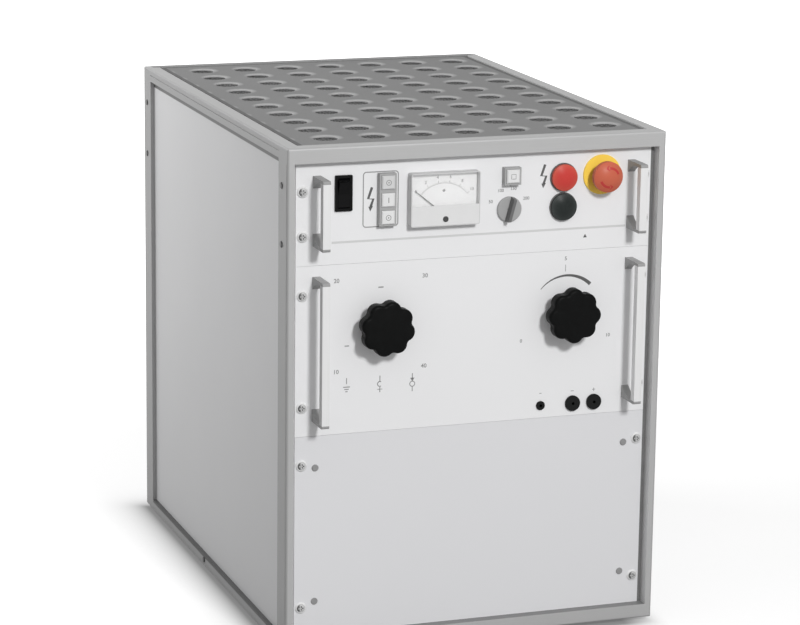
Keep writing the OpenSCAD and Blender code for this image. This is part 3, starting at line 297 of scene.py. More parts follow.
def side_sheet_light_and_shade(f, place, colour):
    """Painted light and shade on a side sheet: painted shade towards its front and foot, painted
    light towards its upper rear, and a painted shadow line on top. `up` goes from 0 at the lower
    front corner to 1 at the upper rear one."""
    low, high = corners("side_panel_left")
    shade_line_width, foot_shade_share, top_light_share = 8*MM, 0.12, 0.1
    back = (place[1] - low[1])*(1/(high[1] - low[1]))
    rise = (place[2] - low[2])*(1/(high[2] - low[2]))
    up = (back + rise)*0.5
    # painted shade towards the front and foot, then painted light towards the upper rear
    colour = f.mix((up*-foot_shade_share + foot_shade_share).within(), colour, grey(0))
    colour = f.mix((up*(2*top_light_share) - top_light_share).within(), colour, grey(255))
    # painted shadow line along the top, under the rail
    return f.mix(place[2].past(high[2] - shade_line_width), colour, SHADE_LINE_COLOUR)


def vent_highlight_and_shade(f, place, colour):
    """Painted shade along both sides, the shadow lines by the rails, and a painted highlight: a
    pale crescent behind each vent hole, a soft disc about a point behind the hole, whose place
    comes from wrapping x and y into one pitch. It stops short of where a row in front of the first
    one would be."""
    low, high = corners("top_cover")
    pitch, right_in, shade_line_width = 63.9*MM, 59.6*MM, 6.5*MM
    behind_x, behind_y = 4*MM, 7*MM
    disc_r, soft, strength, rows_out = 18*MM, 9*MM, 0.42, 4.9
    centre_y = (low[1] + high[1])/2
    column = corners("front_posts")[1][0] - right_in + behind_x
    row = centre_y + pitch/2 + behind_y
    off = [((part - first)*(1/pitch)).maths("WRAP", 0.5, -0.5)*pitch
           for part, first in ((place[0], column), (place[1], row))]
    # painted highlight: a pale crescent behind each hole
    pale = (-length(*off)).past(-disc_r, soft)*place[1].past(centre_y - rows_out*pitch)
    colour = f.mix(pale*strength, colour, grey(225))
    # painted shade: shadow lines along both sides
    return f.mix(place[0].maths("ABSOLUTE").past(high[0] - shade_line_width), colour, SHADE_LINE_COLOUR)


def drawn_aluminium(name, colour, along, rough=0.5, metal=0.2, shadows=None):
    """Satin anodised profile: fine lines along the way that it was drawn, and faint cloudy patches.
    Faces that look away from the middle get painted shade and those that look to it get painted
    light, in full from `full_at` metres off. `shadows` adds its own share of painted shadow from
    place and direction."""
    f = Finish(name)
    drawn_out, full_at, painted_dark_share, pale = 0.012, 0.25, 0.3, 0.6
    stretch = tuple(drawn_out if axis == along else 1.0 for axis in "xyz")
    lines = f.noise(f.place(stretch), 0.7*MM, 4)
    clouds = f.noise(f.place(), 0.05, 3)
    colour = f.grained(lines*0.6 + clouds*0.4, colour, 0.9, 1.1)
    facing, place = f.facing(), f.axes(f.place())
    outward = facing[0]*place[0]*(1/full_at)
    # painted shade on faces that look away from the middle
    colour = f.mix(outward.within()*painted_dark_share, colour, grey(20))
    # painted light on faces that look to the middle
    colour = f.mix((-outward).within()*pale, colour, grey(235))
    if shadows:
        colour = f.mix(shadows(place, facing), colour, grey(60))
    return f.shade(Base_Color=colour, Metallic=metal, Roughness=rough + (lines - 0.5)*0.2,
                   Normal=f.bump(lines, 0.02*MM), Specular_IOR_Level=0.3)


def plated_steel(name, colour, rough=0.35, metal=0.75, size=9*MM, left=None):
    """Zinc or nickel plate: spangles of slightly different tone, and fine scratches. `left` is
    another colour for what lies left of the middle, used as painted light."""
    f = Finish(name)
    spangle = f.node("TexVoronoi", values={"Vector": f.place(), "Scale": 1/size}, output="Color")
    level = f.axes(spangle)[0]
    scratch = f.noise(f.place((1, 0.05, 1)), 0.6*MM, 3)
    grain = level*0.5 + scratch*0.5
    colour = f.grained(grain, colour, 0.86, 1.12)
    # painted light on what lies left of the middle
    if left:
        colour = f.mix(f.axes(f.place())[0].past(0), f.grained(grain, left, 0.86, 1), colour)
    return f.shade(Base_Color=colour, Metallic=metal, Roughness=rough + level*0.12,
                   Normal=f.bump(scratch, 0.015*MM))


def screw_steel(name):
    """A worn bright head, pale and pitted, with painted shade on the flank that looks to the left.
    """
    f = Finish(name)
    pits = f.noise(f.place(), 0.8*MM, 3)
    tilt, soft, painted_dark_share = 0.12, 0.2, 0.9
    flank = (-f.facing()[0]).past(tilt, soft)
    # painted shade on the flank that looks to the left
    colour = f.mix(flank*painted_dark_share, f.mix(pits, grey(170), grey(205)), grey(52))
    return f.shade(Base_Color=colour, Metallic=0.15, Roughness=pits*0.2 + 0.45,
                   Normal=f.bump(pits, 0.02*MM))


def turned_steel(name, colour, centre):
    """A turned part: rings round the axis through `centre`, along y."""
    f = Finish(name)
    rings = f.noise(f.node("CombineXYZ", values={"X": f.from_axis(centre)}), 0.3*MM, 3)
    return f.shade(Base_Color=f.grained(rings, colour, 0.8, 1.2), Metallic=0.85,
                   Roughness=rings*0.12 + 0.3, Normal=f.bump(rings, 0.02*MM))


def moulded(name, colour, rough=0.45, grain=0.35*MM, depth=0.03*MM, specular=0.4, spread=0.05):
    """Moulded plastic: a fine spark-eroded texture and slow drifts of gloss."""
    f = Finish(name)
    place = f.place()
    sparks = f.noise(place, grain, 3)
    flow = f.noise(place, 0.018, 2)
    colour = f.grained(flow*0.6 + sparks*0.4, colour, 1 - spread, 1 + spread)
    return f.shade(Base_Color=colour, Roughness=rough + (flow - 0.5)*0.14,
                   Normal=f.bump(sparks, depth), Specular_IOR_Level=specular)


def knob_black(name):
    """Glossy phenolic: nearly black, with flow marks and fine wiping scratches in the gloss."""
    f = Finish(name)
    flow = f.noise(f.place(), 0.012, 3)
    wipe = f.noise(f.place((1, 1, 0.08)), 0.9*MM, 3)
    return f.shade(Base_Color=f.mix(flow, tone(3, 3, 3), tone(14, 15, 15)),
                   Roughness=0.3 + flow*0.14 + wipe*0.06, Normal=f.bump(flow, 0.5*MM),
                   Specular_IOR_Level=0.06)


def lens(name, colour, edge, centre, radius, rings=9):
    """A lamp lens: its colour goes to the `edge` colour towards the rim, a paler painted sheen,
    with moulded rings under a smooth surface.
    The rings are the sine of the distance from the lamp's axis."""
    f = Finish(name)
    distance = f.from_axis(centre)
    cloud = f.noise(f.place(), 3*MM, 2)
    share = (distance/radius).maths("POWER", 4.0)
    return f.shade(Base_Color=f.mix(share*0.8 + cloud*0.2, colour, edge),
                   Roughness=0.3 + cloud*0.1, Specular_IOR_Level=0.12,
                   Normal=f.bump(distance.ripple(radius/rings), 0.1*MM, 0.5))


def clear_pane(name):
    """A clear pane: mostly see-through, with faint smears that show only in its gloss."""
    f = Finish(name)
    smear = f.noise(f.place((1, 1, 3)), 0.02, 3)
    return f.shade(Base_Color=f.mix(smear, grey(245), grey(252)), Alpha=0.1 + smear*0.05,
                   Roughness=0.04 + smear*0.08)


def ink(name, level):
    """Screen-printed ink: nearly even, with a fine mesh grain."""
    f = Finish(name)
    grain = f.noise(f.place(), 0.5*MM, 2)
    return f.shade(Base_Color=f.grained(grain, grey(level), 0.88, 1.12), Roughness=0.5 + grain*0.1)


def soft_rubber(name):
    f = Finish(name)
    crumb = f.noise(f.place(), 1.1*MM, 4)
    return f.shade(Base_Color=f.mix(crumb, grey(26), grey(44)), Roughness=0.7 + crumb*0.15,
                   Normal=f.bump(crumb, 0.12*MM), Specular_IOR_Level=0.2)


def windings(name, centre, turns=170):
    """Enamelled wire wound round a ring: ridges that repeat `turns` times round the axis."""
    f = Finish(name)
    x, _, z = f.axes(f.place(centre=centre))
    ridge = z.maths("ARCTAN2", x).ripple(2*math.pi/turns)
    cloud = f.noise(f.place(), 0.01, 2)
    colour = f.mix(ridge*0.7 + cloud*0.3, tone(104, 52, 30), tone(206, 132, 84))
    return f.shade(Base_Color=colour, Metallic=0.5, Roughness=0.32 + cloud*0.1,
                   Normal=f.bump(ridge, 0.5*MM))


def laminations(name):
    """Varnished core sheets: thin stripes across the stack."""
    f = Finish(name)
    stripe = f.axes(f.place())[1].ripple(0.9*MM)
    stain = f.noise(f.place(), 0.02, 3)
    colour = f.mix(stripe*0.4 + stain*0.6, tone(38, 46, 46), tone(92, 100, 98))
    return f.shade(Base_Color=colour, Metallic=0.3, Roughness=0.4 + stain*0.2,
                   Normal=f.bump(stripe, 0.06*MM))


def coated_rod(name, colour):
    """Cement coat over a wound rod: a grainy skin with soft ridges along the rod."""
    f = Finish(name)
    grit = f.noise(f.place(), 1.4*MM, 5)
    ridge = f.axes(f.place())[1].ripple(5*MM)
    return f.shade(Base_Color=f.grained(grit, colour, 0.75, 1.2), Roughness=0.8,
                   Normal=f.bump(grit*0.6 + ridge*0.4, 0.3*MM), Specular_IOR_Level=0.2)


def circuit_board(name):
    """Green solder mask: copper tracks show through as paler right-angled lines."""
    f = Finish(name)
    cells = f.node("TexVoronoi", {"distance": "CHEBYCHEV", "feature": "F1"},
                   {"Vector": f.place((1, 1, 0.01)), "Scale": 90.0}, output="Distance")
    track = (cells*60.0).maths("SINE") > 0.35
    weave = f.noise(f.place(), 1.2*MM, 2)
    colour = f.mix(track*0.7 + weave*0.3, tone(22, 74, 44), tone(58, 122, 74))
    return f.shade(Base_Color=colour, Roughness=0.3 + weave*0.15, Normal=f.bump(track, 0.04*MM))


# Floor and world

def white_floor(name):
    """A pale floor. To the camera part of its light is its own, more so far away, so that it meets
    the white background, and the rest takes the object's shadow. Its bounce is darker. A painted
    shadow, a soft dark band round the foot, falls off as e^-(d/reach), d from the foot's rectangle,
    and ends on the right."""
    low, high = corners("side_rails")
    least_glow, glow_from, glow_slope = 0.36, 0.8, 0.5
    reach, darkest, front_in = 22*MM, 0.72, 20*MM
    band_end, end_soft, glow_strength = 0.25, 0.06, 1.62
    f = Finish(name)
    x, y, _ = f.axes(f.place(centre=(0, (low[1] + high[1])/2, 0)))
    share = ((length(x, y) - glow_from)*glow_slope).larger(0.0) + least_glow
    aside = ((low[0] - high[0])/2 + x.maths("ABSOLUTE")).larger(0.0)
    beyond = ((low[1] - high[1])/2 - front_in + y.maths("ABSOLUTE")).larger(0.0)
    fall = (length(aside, beyond)*(-1/reach)).maths("EXPONENT")
    # painted shadow round the foot
    floor_shadow = fall*(-x).past(-band_end, end_soft)*darkest
    pale = f.mix(f.noise(f.place(), 0.3, 2), grey(232), grey(238))
    matt, bounce, dark = [f.node("BsdfDiffuse", values={"Color": colour})
                          for colour in (pale, grey(150), grey(60))]
    glow = f.node("Emission", values={"Color": (1, 1, 1), "Strength": glow_strength})
    lit = f.node("MixShader", values={0: share.within(), 1: matt, 2: glow})
    seen = f.node("MixShader", values={0: floor_shadow, 1: lit, 2: dark})
    return f.end(f.node("MixShader", values={0: f.seen_directly(), 1: bounce, 2: seen}))


def floor():
    half = 14.0
    mesh = bpy.data.meshes.new("floor")
    square = [(-half, -half, 0), (half, -half, 0), (half, half, 0), (-half, half, 0)]
    mesh.from_pydata(square, [], [(0, 1, 2, 3)])
    mesh.materials.append(white_floor("floor_white"))
    placed("floor", mesh)


def white_world():
    """Even soft light. The camera, reflections and clear panes see plain white."""
    bpy.context.scene.world = bpy.data.worlds.new("studio")
    f = Finish("studio", bpy.context.scene.world)
    ambient = 0.5
    strength = f.seen_directly()*(1 - ambient) + ambient
    f.end(f.node("Background", values={"Color": (1, 1, 1), "Strength": strength}), "OutputWorld")


# Meshes from arrays

def quads(rows, columns):
    """Four-cornered faces over a grid of points, whose last column is joined to the first."""
    index = np.arange(rows*columns).reshape(rows, columns)
    index = np.hstack([index, index[:, :1]])
    round_each = [index[:-1, :-1], index[:-1, 1:], index[1:, 1:], index[1:, :-1]]
    return np.stack(round_each, -1).reshape(-1, 4)


class Pile:
    """Points and faces of one piece, gathered part by part."""

    def __init__(self):
        self.points = []
        self.faces = []
        self.count = 0

    def add(self, points, *face_sets):
        points = np.asarray(points, float).reshape(-1, 3)
        self.points.append(points)
        for faces in face_sets:
            self.faces += (np.asarray(faces) + self.count).tolist()
        self.count += len(points)

    def skin(self, grid, closed_ends=True):
        """A grid of points wrapped across its columns, with its two ends closed."""
        rows, columns = grid.shape[:2]
        ring = np.arange(columns)
        ends = [ring[None, ::-1], ring[None, :] + (rows - 1)*columns] if closed_ends else []
        self.add(grid, quads(rows, columns), *ends)

    def piece(self, name, finish, body, slot=None, replaces=(), smooth=30):
        """Makes the mesh, its normals outwards, and lets it ride on a body."""
        mesh = bpy.data.meshes.new(name)
        mesh.from_pydata(np.concatenate(self.points).tolist(), [], self.faces)
        mesh.validate()
        made = placed(name, mesh)
        settle(mesh)
        mesh.shade_smooth()
        mesh.set_sharp_from_angle(angle=math.radians(smooth))
        mesh.materials.append(finish)
        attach(made, body)
        if replaces:
            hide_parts(*replaces)


def settle(mesh):
    """Merges doubles and turns every face outwards."""
    work = bmesh.new()
    work.from_mesh(mesh)
    bmesh.ops.remove_doubles(work, verts=work.verts, dist=1e-7)
    bmesh.ops.recalc_face_normals(work, faces=work.faces)
    work.to_mesh(mesh)
    work.free()


# Printed marks: thin plates on a face that looks towards -Y

# How far a mark stands out of its face, and how far its back lies in it
INK, SUNK = 0.05*MM, 0.02*MM


def ribbon(pile, x, z, width, face=FACE_Y):
    """A line of ink along a path: at each point the path's normal carries half the width to each
    side, and the four corners of that cross-section run along the path."""
    x, z = np.asarray(x, float), np.asarray(z, float)
    run = np.stack([np.gradient(x), np.gradient(z)], -1)
    run /= np.linalg.norm(run, axis=1, keepdims=True)
    half = np.broadcast_to(np.asarray(width, float)/2, x.shape)
    aside = np.stack([-run[:, 1]*half, run[:, 0]*half], -1)
    sides = np.array([1, 1, -1, -1])
    depth = np.broadcast_to(face + np.array([SUNK, -INK, -INK, SUNK]), (len(x), 4))
    grid = [x[:, None] + sides*aside[:, :1], depth, z[:, None] + sides*aside[:, 1:]]
    pile.skin(np.stack(grid, -1))


def stroke(pile, origin, start, end, width, face=FACE_Y):
    """A straight line between two points. They are millimetres from `origin`, as the width is."""
    x, z = [[origin[i] + start[i]*MM, origin[i] + end[i]*MM] for i in range(2)]
    ribbon(pile, x, z, width*MM, face)


def patch(pile, x, z, face=FACE_Y):
    """A filled outline of ink: the outline at two depths, joined round and closed."""
    outline = np.stack([np.asarray(x, float), np.asarray(z, float)], -1)
    pile.skin(np.stack([np.insert(outline, 1, face + d, axis=1) for d in (SUNK, -INK)]))


def arc(centre, radius, start, end, steps=48):
    """Points on a circle between two angles in degrees, counted from +x towards +z."""
    turn = np.radians(np.linspace(start, end, steps))
    return centre[0] + radius*np.cos(turn), centre[1] + radius*np.sin(turn)


def figures(pile, text, x, z, height, face=FACE_Y):
    """Plain numbers, slightly bold, turned from the text's own plane so that they face -Y."""
    cap_share, bolder = 0.72, 0.03
    curve = bpy.data.curves.new("figures", "FONT")
    curve.body = text
    curve.size = height/cap_share
    curve.offset = bolder*height
    curve.align_x = "CENTER"
    curve.align_y = "CENTER"
    curve.extrude = INK/2
    curve.resolution_u = 3
    holder = bpy.data.objects.new("figures", curve)
    mesh = bpy.data.meshes.new_from_object(holder)
    flat = np.zeros(len(mesh.vertices)*3)
    mesh.vertices.foreach_get("co", flat)
    flat = flat.reshape(-1, 3)
    start = pile.count
    pile.add(np.stack([flat[:, 0] + x, face - INK/2 - flat[:, 2], flat[:, 1] + z], -1))
    pile.faces += [[start + i for i in polygon.vertices] for polygon in mesh.polygons]
    bpy.data.objects.remove(holder)
    bpy.data.meshes.remove(mesh)
    bpy.data.curves.remove(curve)


def numbers_round(pile, centre, reach, numbers, height, face=FACE_Y):
    """Plain numbers round a centre, each with its angle in degrees."""
    for number, turn in numbers:
        (x,), (z,) = arc(centre, reach, turn, turn, 1)
        figures(pile, number, x, z, height, face)


def zigzag(pile, x, z):
    """A zigzag stroke with an arrow head at its foot. Its corners are shares of its height."""
    height, width = 31*MM, 3.4*MM
    px = x + height*np.array([0.05, -0.11, 0.11, 0.0])
    pz = z + height*np.array([0.5, 0.03, 0.01, -0.3])
    ribbon(pile, px, pz, width)
    head = height*0.1
    patch(pile, px[-1] + head*np.array([-1, 1, -0.2]), pz[-1] + head*np.array([0, 0.2, -2]))


def rounded_outline(pile, low, high, radius, width):
    """A line round a rectangle with round corners, started in the middle of its bottom side."""
    (x0, z0), (x1, z1) = low, high
    middle_x, step = (x0 + x1)/2, 1*MM
    turns = [((x1 - radius, z0 + radius), -90), ((x1 - radius, z1 - radius), 0),
             ((x0 + radius, z1 - radius), 90), ((x0 + radius, z0 + radius), 180)]
    parts = [arc(c, radius, a, a + 90, 8) for c, a in turns]
    x = [[middle_x, middle_x + step], *[p[0] for p in parts], [middle_x - step, middle_x]]
    z = [[z0, z0], *[p[1] for p in parts], [z0, z0]]
    ribbon(pile, np.concatenate(x), np.concatenate(z), width)


def control_print(dark, pale, faint):
    """Marks on the control panel: a frame round the buttons, zigzags, ticks and plain numbers.
    Their sizes and places were read off the photograph, each from the nearest control."""
    bank = middle("upper_button")[0], middle("middle_button")[2]
    selector = middle("selector_knob")[0], middle("selector_switch")[2]
    single = middle("square_button")[0], corners("square_button")[0][2]
    lamp_x, _, lamp_z = middle("red_lens")
    soft, strong, rule = Pile(), Pile(), Pile()
    frame_low = bank[0] - 30*MM, bank[1] - 35.5*MM
    frame_high = bank[0] + 16.5*MM, bank[1] + 35*MM
    rounded_outline(soft, frame_low, frame_high, radius=4*MM, width=1.4*MM)
    rule_left, rule_right, rule_z = -194*MM, 208*MM, CONTROL_Z + 28.2*MM
    ribbon(rule, [rule_left, 0, rule_right], [rule_z]*3, 2.8*MM)
    rule.piece("control_panel_rule", faint, "cabinet")
    zigzag(strong, bank[0] - 20*MM, bank[1])
    zigzag(strong, lamp_x - 27*MM, lamp_z + 2*MM)
    stroke(soft, single, (0, -1.5), (0, -6), 0.7)
    numbers = ("50", 157), ("100", 115), ("150", 77), ("200", 28)
    numbers_round(soft, selector, 27*MM, numbers, 4.2*MM)
    side = 2.6*MM
    mark_x, mark_z = 151.5*MM, CONTROL_Z + 17.6*MM
    patch(strong, mark_x + side*np.array([-1, 1, 0]), mark_z + side*np.array([-0.8, -0.8, 1]))
    soft.piece("control_panel_lines", pale, "cabinet")
    strong.piece("control_panel_marks", dark, "cabinet")


def stage_symbol(pile, x, z, kind):
    """A small circuit sign on a lead: bars of falling width, a bent line with a bar, or a triangle
    over a ring. Its places are millimetres from its middle."""
    at, lead = (x, z), 1.2
    stroke(pile, at, (0, 12), (0, 4), lead)
    if kind == "bars":
        for drop, half in ((0, 4.6), (3, 3.0), (6, 1.5)):
            stroke(pile, at, (-half, -drop), (half, -drop), 1.3)
    elif kind == "bend":
        ribbon(pile, *arc((x, z + 1*MM), 3.2*MM, 60, 300, 24), lead*MM)
        stroke(pile, at, (0, -3), (0, -10), lead)
        stroke(pile, at, (-3.6, -6), (3.6, -6), 0.8)
    else:
        patch(pile, x + np.array([-3, 3, 0])*MM, z + np.array([6, 6, 1])*MM)
        ribbon(pile, *arc((x, z - 2*MM), 3.4*MM, 0, 360, 28), 1.1*MM)
        stroke(pile, at, (0, -6), (0, -12), lead)


def stage_print(dark, pale):
    """Marks on the stage panel: numbers round the stage knob, the rising arc of the voltage knob,
    and the signs over the sockets. Their sizes and places were read off the photograph, each from
    its knob's axis."""
    stage, volts = [middle(node)[[0, 2]] for node in ("stage_knob", "voltage_knob")]
    soft, strong = Pile(), Pile()
    numbers = ("10", 225), ("20", 135), ("30", 45), ("40", 315)
    numbers_round(soft, stage, 84*MM, numbers, 5.5*MM)
    stroke(soft, stage, (-3.5, 48), (3.5, 48), 1.6)
    stroke(soft, stage, (-48, -26), (-42, -26), 1.4)
    for offset, kind in ((-45*MM, "bars"), (0, "bend"), (44*MM, "ring")):
        stage_symbol(soft, stage[0] + offset, stage[1] - 80*MM, kind)
    arc_r, start, end, steps = 47.6*MM, 139, 46, 60
    thin, thick = 0.9*MM, 4.8*MM
    ribbon(strong, *arc(volts, arc_r, start, end, steps), np.linspace(thin, thick, steps))
    figures(soft, "0", volts[0] - 62*MM, volts[1] - 36*MM, 4.6*MM)
    figures(soft, "10", volts[0] + 60*MM, volts[1] - 36*MM, 4.6*MM)
    stroke(soft, volts, (-2, 53), (-2, 62), 0.8)
    figures(soft, "5", volts[0] - 2*MM, volts[1] + 70*MM, 5*MM)
    low, high = corners("output_sockets")
    socket_r, sign_z = 10*MM, STAGE_Z + 33*MM
    minus, plus = (low[0] + socket_r, sign_z), (high[0] - socket_r, sign_z)
    earth = middle("earth_socket")[0], sign_z
    for sign, half in ((earth, 1.6), (minus, 2.2), (plus, 2.2)):
        stroke(soft, sign, (-half, 0), (half, 0), 0.8)
    stroke(soft, plus, (0, -2.2), (0, 2.2), 0.8)
    soft.piece("stage_panel_lines", pale, "cabinet")
    strong.piece("voltage_arc", dark, "cabinet")


def meter_scale(dark):
    """The scale on the dial: an arc round the needle's pivot, ticks outside it, plain numbers."""
    pile = Pile()
    face = corners("meter_dial")[0][1]
    x, _, z = middle("zero_screw")
    pivot = x, z + 5*MM
    inner, outer, number_r = 40*MM, 44*MM, 48.5*MM
    start, half_sweep, steps, parts = 90 + 51, 51, 50, 5
    ribbon(pile, *arc(pivot, inner, start, start - 2*half_sweep, 90), 0.35*MM, face)
    for i in range(steps + 1):
        turn = start - i*2*half_sweep/steps
        long_tick = i % (steps//parts) == 0
        mid_tick = i % (steps//parts) == steps//parts//2
        reach = outer if long_tick else (inner + outer)/2 + (1*MM if mid_tick else 0)
        (x0,), (z0,) = arc(pivot, inner, turn, turn, 1)
        (x1,), (z1,) = arc(pivot, reach, turn, turn, 1)
        ribbon(pile, [x0, x1], [z0, z1], 0.6*MM if long_tick else 0.3*MM, face)
    numbers = [(str(2*i), start - i*2*half_sweep/parts) for i in range(parts + 1)]
    numbers_round(pile, pivot, number_r, numbers, 4*MM, face)
    half, unit_z = 2.4*MM, middle("meter_case")[2] + 10*MM
    patch(pile, x + half*np.array([-1, 0, 1, 0]), unit_z + half*np.array([0, -1, 0, 1]), face)
    pile.piece("meter_scale", dark, "cabinet")


def button_marks(dark):
    """A small sign on each push button, riding on its cap."""
    for button, kind in (("upper", "ring"), ("middle", "bar"), ("lower", "ring"),
                         ("square", "box")):
        node = button + "_button"
        pile = Pile()
        face = corners(node)[0][1]
        x, _, z = middle(node)
        if kind == "ring":
            ribbon(pile, *arc((x, z), 3.2*MM, 0, 360, 32), 0.8*MM, face)
            patch(pile, *arc((x, z), 0.9*MM, 0, 345, 24), face)
        elif kind == "bar":
            stroke(pile, (x, z), (0, -3.4), (0, 3.4), 1.1, face)
        else:
            half = 3*MM
            ribbon(pile, x + half*np.array([0, 1, 1, -1, -1, 0]),
                   z + half*np.array([-1, -1, 1, 1, -1, -1]), 0.8*MM, face)
        pile.piece(node + "_mark", dark, button + "_cap")


def stop_arrows(finish):
    """Two bent arrows on the mushroom head, just above its domed face, which turn with it."""
    pile = Pile()
    x, _, z = middle("estop_mushroom")
    low, high = corners("estop_mushroom")
    radius = (high[0] - low[0])/2
    crown = 7*MM
    dome = (radius**2 + crown**2)/(2*crown)
    ring = 0.62*radius
    sweep, shaft, shaft_w, head_w, tip_w = 95, 72, 3.2*MM, 8*MM, 0.1*MM
    for start in (20, 200):
        bend = np.linspace(start, start + sweep, 24)
        head = (start + sweep - bend)/(sweep - shaft)*head_w + tip_w
        width = np.where(bend > start + shaft, head, shaft_w)
        turn = np.radians(bend)[:, None]
        reach = ring + np.array([[0.5, 0.5, -0.5, -0.5]])*width[:, None]
        lift = np.array([[SUNK, -INK*3, -INK*3, SUNK]])
        depth = low[1] + dome - np.sqrt(dome**2 - reach**2) + lift
        pile.skin(np.stack([x + reach*np.cos(turn), depth, z + reach*np.sin(turn)], -1))
    pile.piece("stop_head_arrows", finish, "stop_head", "stop_red")


# Screws

# Radius of a cup washer
CUP_R = 7.5*MM


def screw_places():
    """Middles of the panel screws: two per side of each panel, 6/7 of a unit in from its ends."""
    unit, gap = 44.45*MM, 0.15*MM
    low, high = corners("cup_washers")
    x = (high[0] - low[0])/2 - CUP_R
    places = []
    for panel in ("blank_panel", "stage_panel", "control_panel"):
        bottom, top = corners(panel)[0][2] - gap, corners(panel)[1][2] + gap
        places += [(s*x, z) for s in (-1, 1) for z in (bottom + unit*6/7, top - unit*6/7)]
    return places


def turned_grid(radii, depths, recess, steps=40):
    """A turned profile of radius and depth; `recess` says how far each point is pressed in."""
    turn = np.linspace(0, 2*np.pi, steps, endpoint=False)
    across = radii[:, None]*np.cos(turn)
    up = radii[:, None]*np.sin(turn)
    return np.stack([across, depths[:, None] + recess(across, up), up], -1)


def cross_recess(reach, width, depth):
    """Depth of a cross whose arms taper: full inside the arms, and falling to nothing past their
    edges."""
    def at(across, up):
        slim = np.minimum(np.abs(across), np.abs(up))
        along = np.maximum(np.abs(across), np.abs(up))
        inside = np.clip((width/2 - slim)/(0.25*width) + 0.5, 0, 1)
        return depth*inside*np.clip((reach - along)/(0.4*reach), 0, 1)
    return at


def rack_screw_heads(finish):
    """Domed countersunk screws with a cross recess, one in each cup washer, with their shanks."""
    low, high = corners("rack_screws")
    cups_low, cups_high = corners("cup_washers")
    head_r = (high[0] - low[0] - (cups_high[0] - cups_low[0]))/2 + CUP_R
    shank_r = 3*MM
    bulge = np.linspace(0, 1, 16)
    dome = cups_low[1] - low[1]
    radii = np.concatenate([bulge*head_r, [shank_r, shank_r, 0]])
    depths = np.concatenate([low[1] + dome*bulge**2, [FACE_Y, high[1], high[1]]])
    recess = cross_recess(reach=0.62*head_r, width=1.5*MM, depth=1.3*MM)
    grid = turned_grid(radii, depths, recess)
    shank = slice(len(bulge), None)
    grid[shank, :, 1] = depths[shank, None]
    pile = Pile()
    for x, z in screw_places():
        pile.skin(grid + np.array([x, 0, z]), closed_ends=False)
    pile.piece("rack_screws_cross", finish, "cabinet", "screw_steel", ("rack_screws",))


# Large knobs

def lobed_outline(lobes, reach, lobe_r, valley_r, steps=320):
    """Angles, and at each the distance from the axis to the outline. With a the angle from the
    nearest lobe, the lobe is the far side of a circle about a point at `ring`: ring cos a +
    sqrt(lobe_r^2 - (ring sin a)^2). The valley is the near side of a circle that touches both lobes
    beside it."""
    turn = np.linspace(0, 2*np.pi, steps, endpoint=False)
    half = np.pi/lobes
    ring = reach - lobe_r
    beyond = ring*np.cos(half) + np.sqrt((lobe_r + valley_r)**2 - (ring*np.sin(half))**2)
    share = lobe_r/(lobe_r + valley_r)
    touch = np.arctan2(beyond*np.sin(half)*share, ring + (beyond*np.cos(half) - ring)*share)
    off = np.abs((turn + half) % (2*half) - half)
    rest = half - off
    lobe = ring*np.cos(off) + np.sqrt(np.maximum(lobe_r**2 - (ring*np.sin(off))**2, 0))
    valley = beyond*np.cos(rest) - np.sqrt(np.maximum(valley_r**2 - (beyond*np.sin(rest))**2, 0))
    return turn, np.where(off <= touch, lobe, valley)


def lobed_knob(node, body, finish, first_lobe=0):
    """A knob whose face swells in a parabola, depth = rise share^2, with quarter circles round its
    front and back edges. Its rows run from the middle of the face to the hub's back. `first_lobe`
    is how far its lobes are turned at rest, in radians."""
    low, high = corners(node)
    x, z = (low[0] + high[0])/2, (low[2] + high[2])/2
    lobes, lobe_r, valley_r = 8, 12*MM, 7*MM
    turn, outline = lobed_outline(lobes, (high[0] - low[0])/2, lobe_r, valley_r)
    thick, rise, front_r, back_r, hub_r, bore_r = np.array([20, 1.8, 4.5, 2, 18, 5.05])*MM
    share = np.linspace(0, 1, 12)
    bend = np.linspace(0, np.pi/2, 9)
    hub = np.array([hub_r, hub_r, bore_r])
    radius = np.concatenate([np.outer(share, outline - front_r),
                             outline - front_r*(1 - np.sin(bend))[1:, None],
                             outline - back_r*(1 - np.cos(bend))[:, None],
                             hub[:, None] + 0*outline])
    depth = np.concatenate([rise*share**2,
                            rise + front_r*(1 - np.cos(bend))[1:],
                            thick - back_r*(1 - np.sin(bend)),
                            [thick, high[1] - low[1], high[1] - low[1]]])
    turn = turn + first_lobe
    pile = Pile()
    pile.skin(np.stack([x + radius*np.cos(turn), low[1] + depth[:, None] + 0*radius,
                        z + radius*np.sin(turn)], -1), closed_ends=False)
    pile.piece(node + "_swept", finish, body, "knob_black", (node,), smooth=50)


# Wire screen

def wires(along, across, radius, phase):
    """Woven wires: each runs along one axis and rises and falls as a sine of its place, the next
    wire the other way. The result has a row of rings for each wire: wires, rings, corners, and the
    three coordinates as along, across and up."""
    pitch = across[1] - across[0]
    corner = np.radians([45, 135, 225, 315])
    sign = np.where(np.arange(len(across)) % 2 == phase, 1.0, -1.0)
    rise = sign[:, None]*radius*np.sin(np.pi*(along - along[0])/pitch + np.pi/2)
    shape = (len(across), len(along), len(corner))
    go = np.broadcast_to(along[None, :, None], shape)
    aside = across[:, None, None] + radius*np.cos(corner) + np.zeros(shape)
    up = rise[:, :, None] + radius*np.sin(corner)
    return np.stack([go, aside, up], -1)


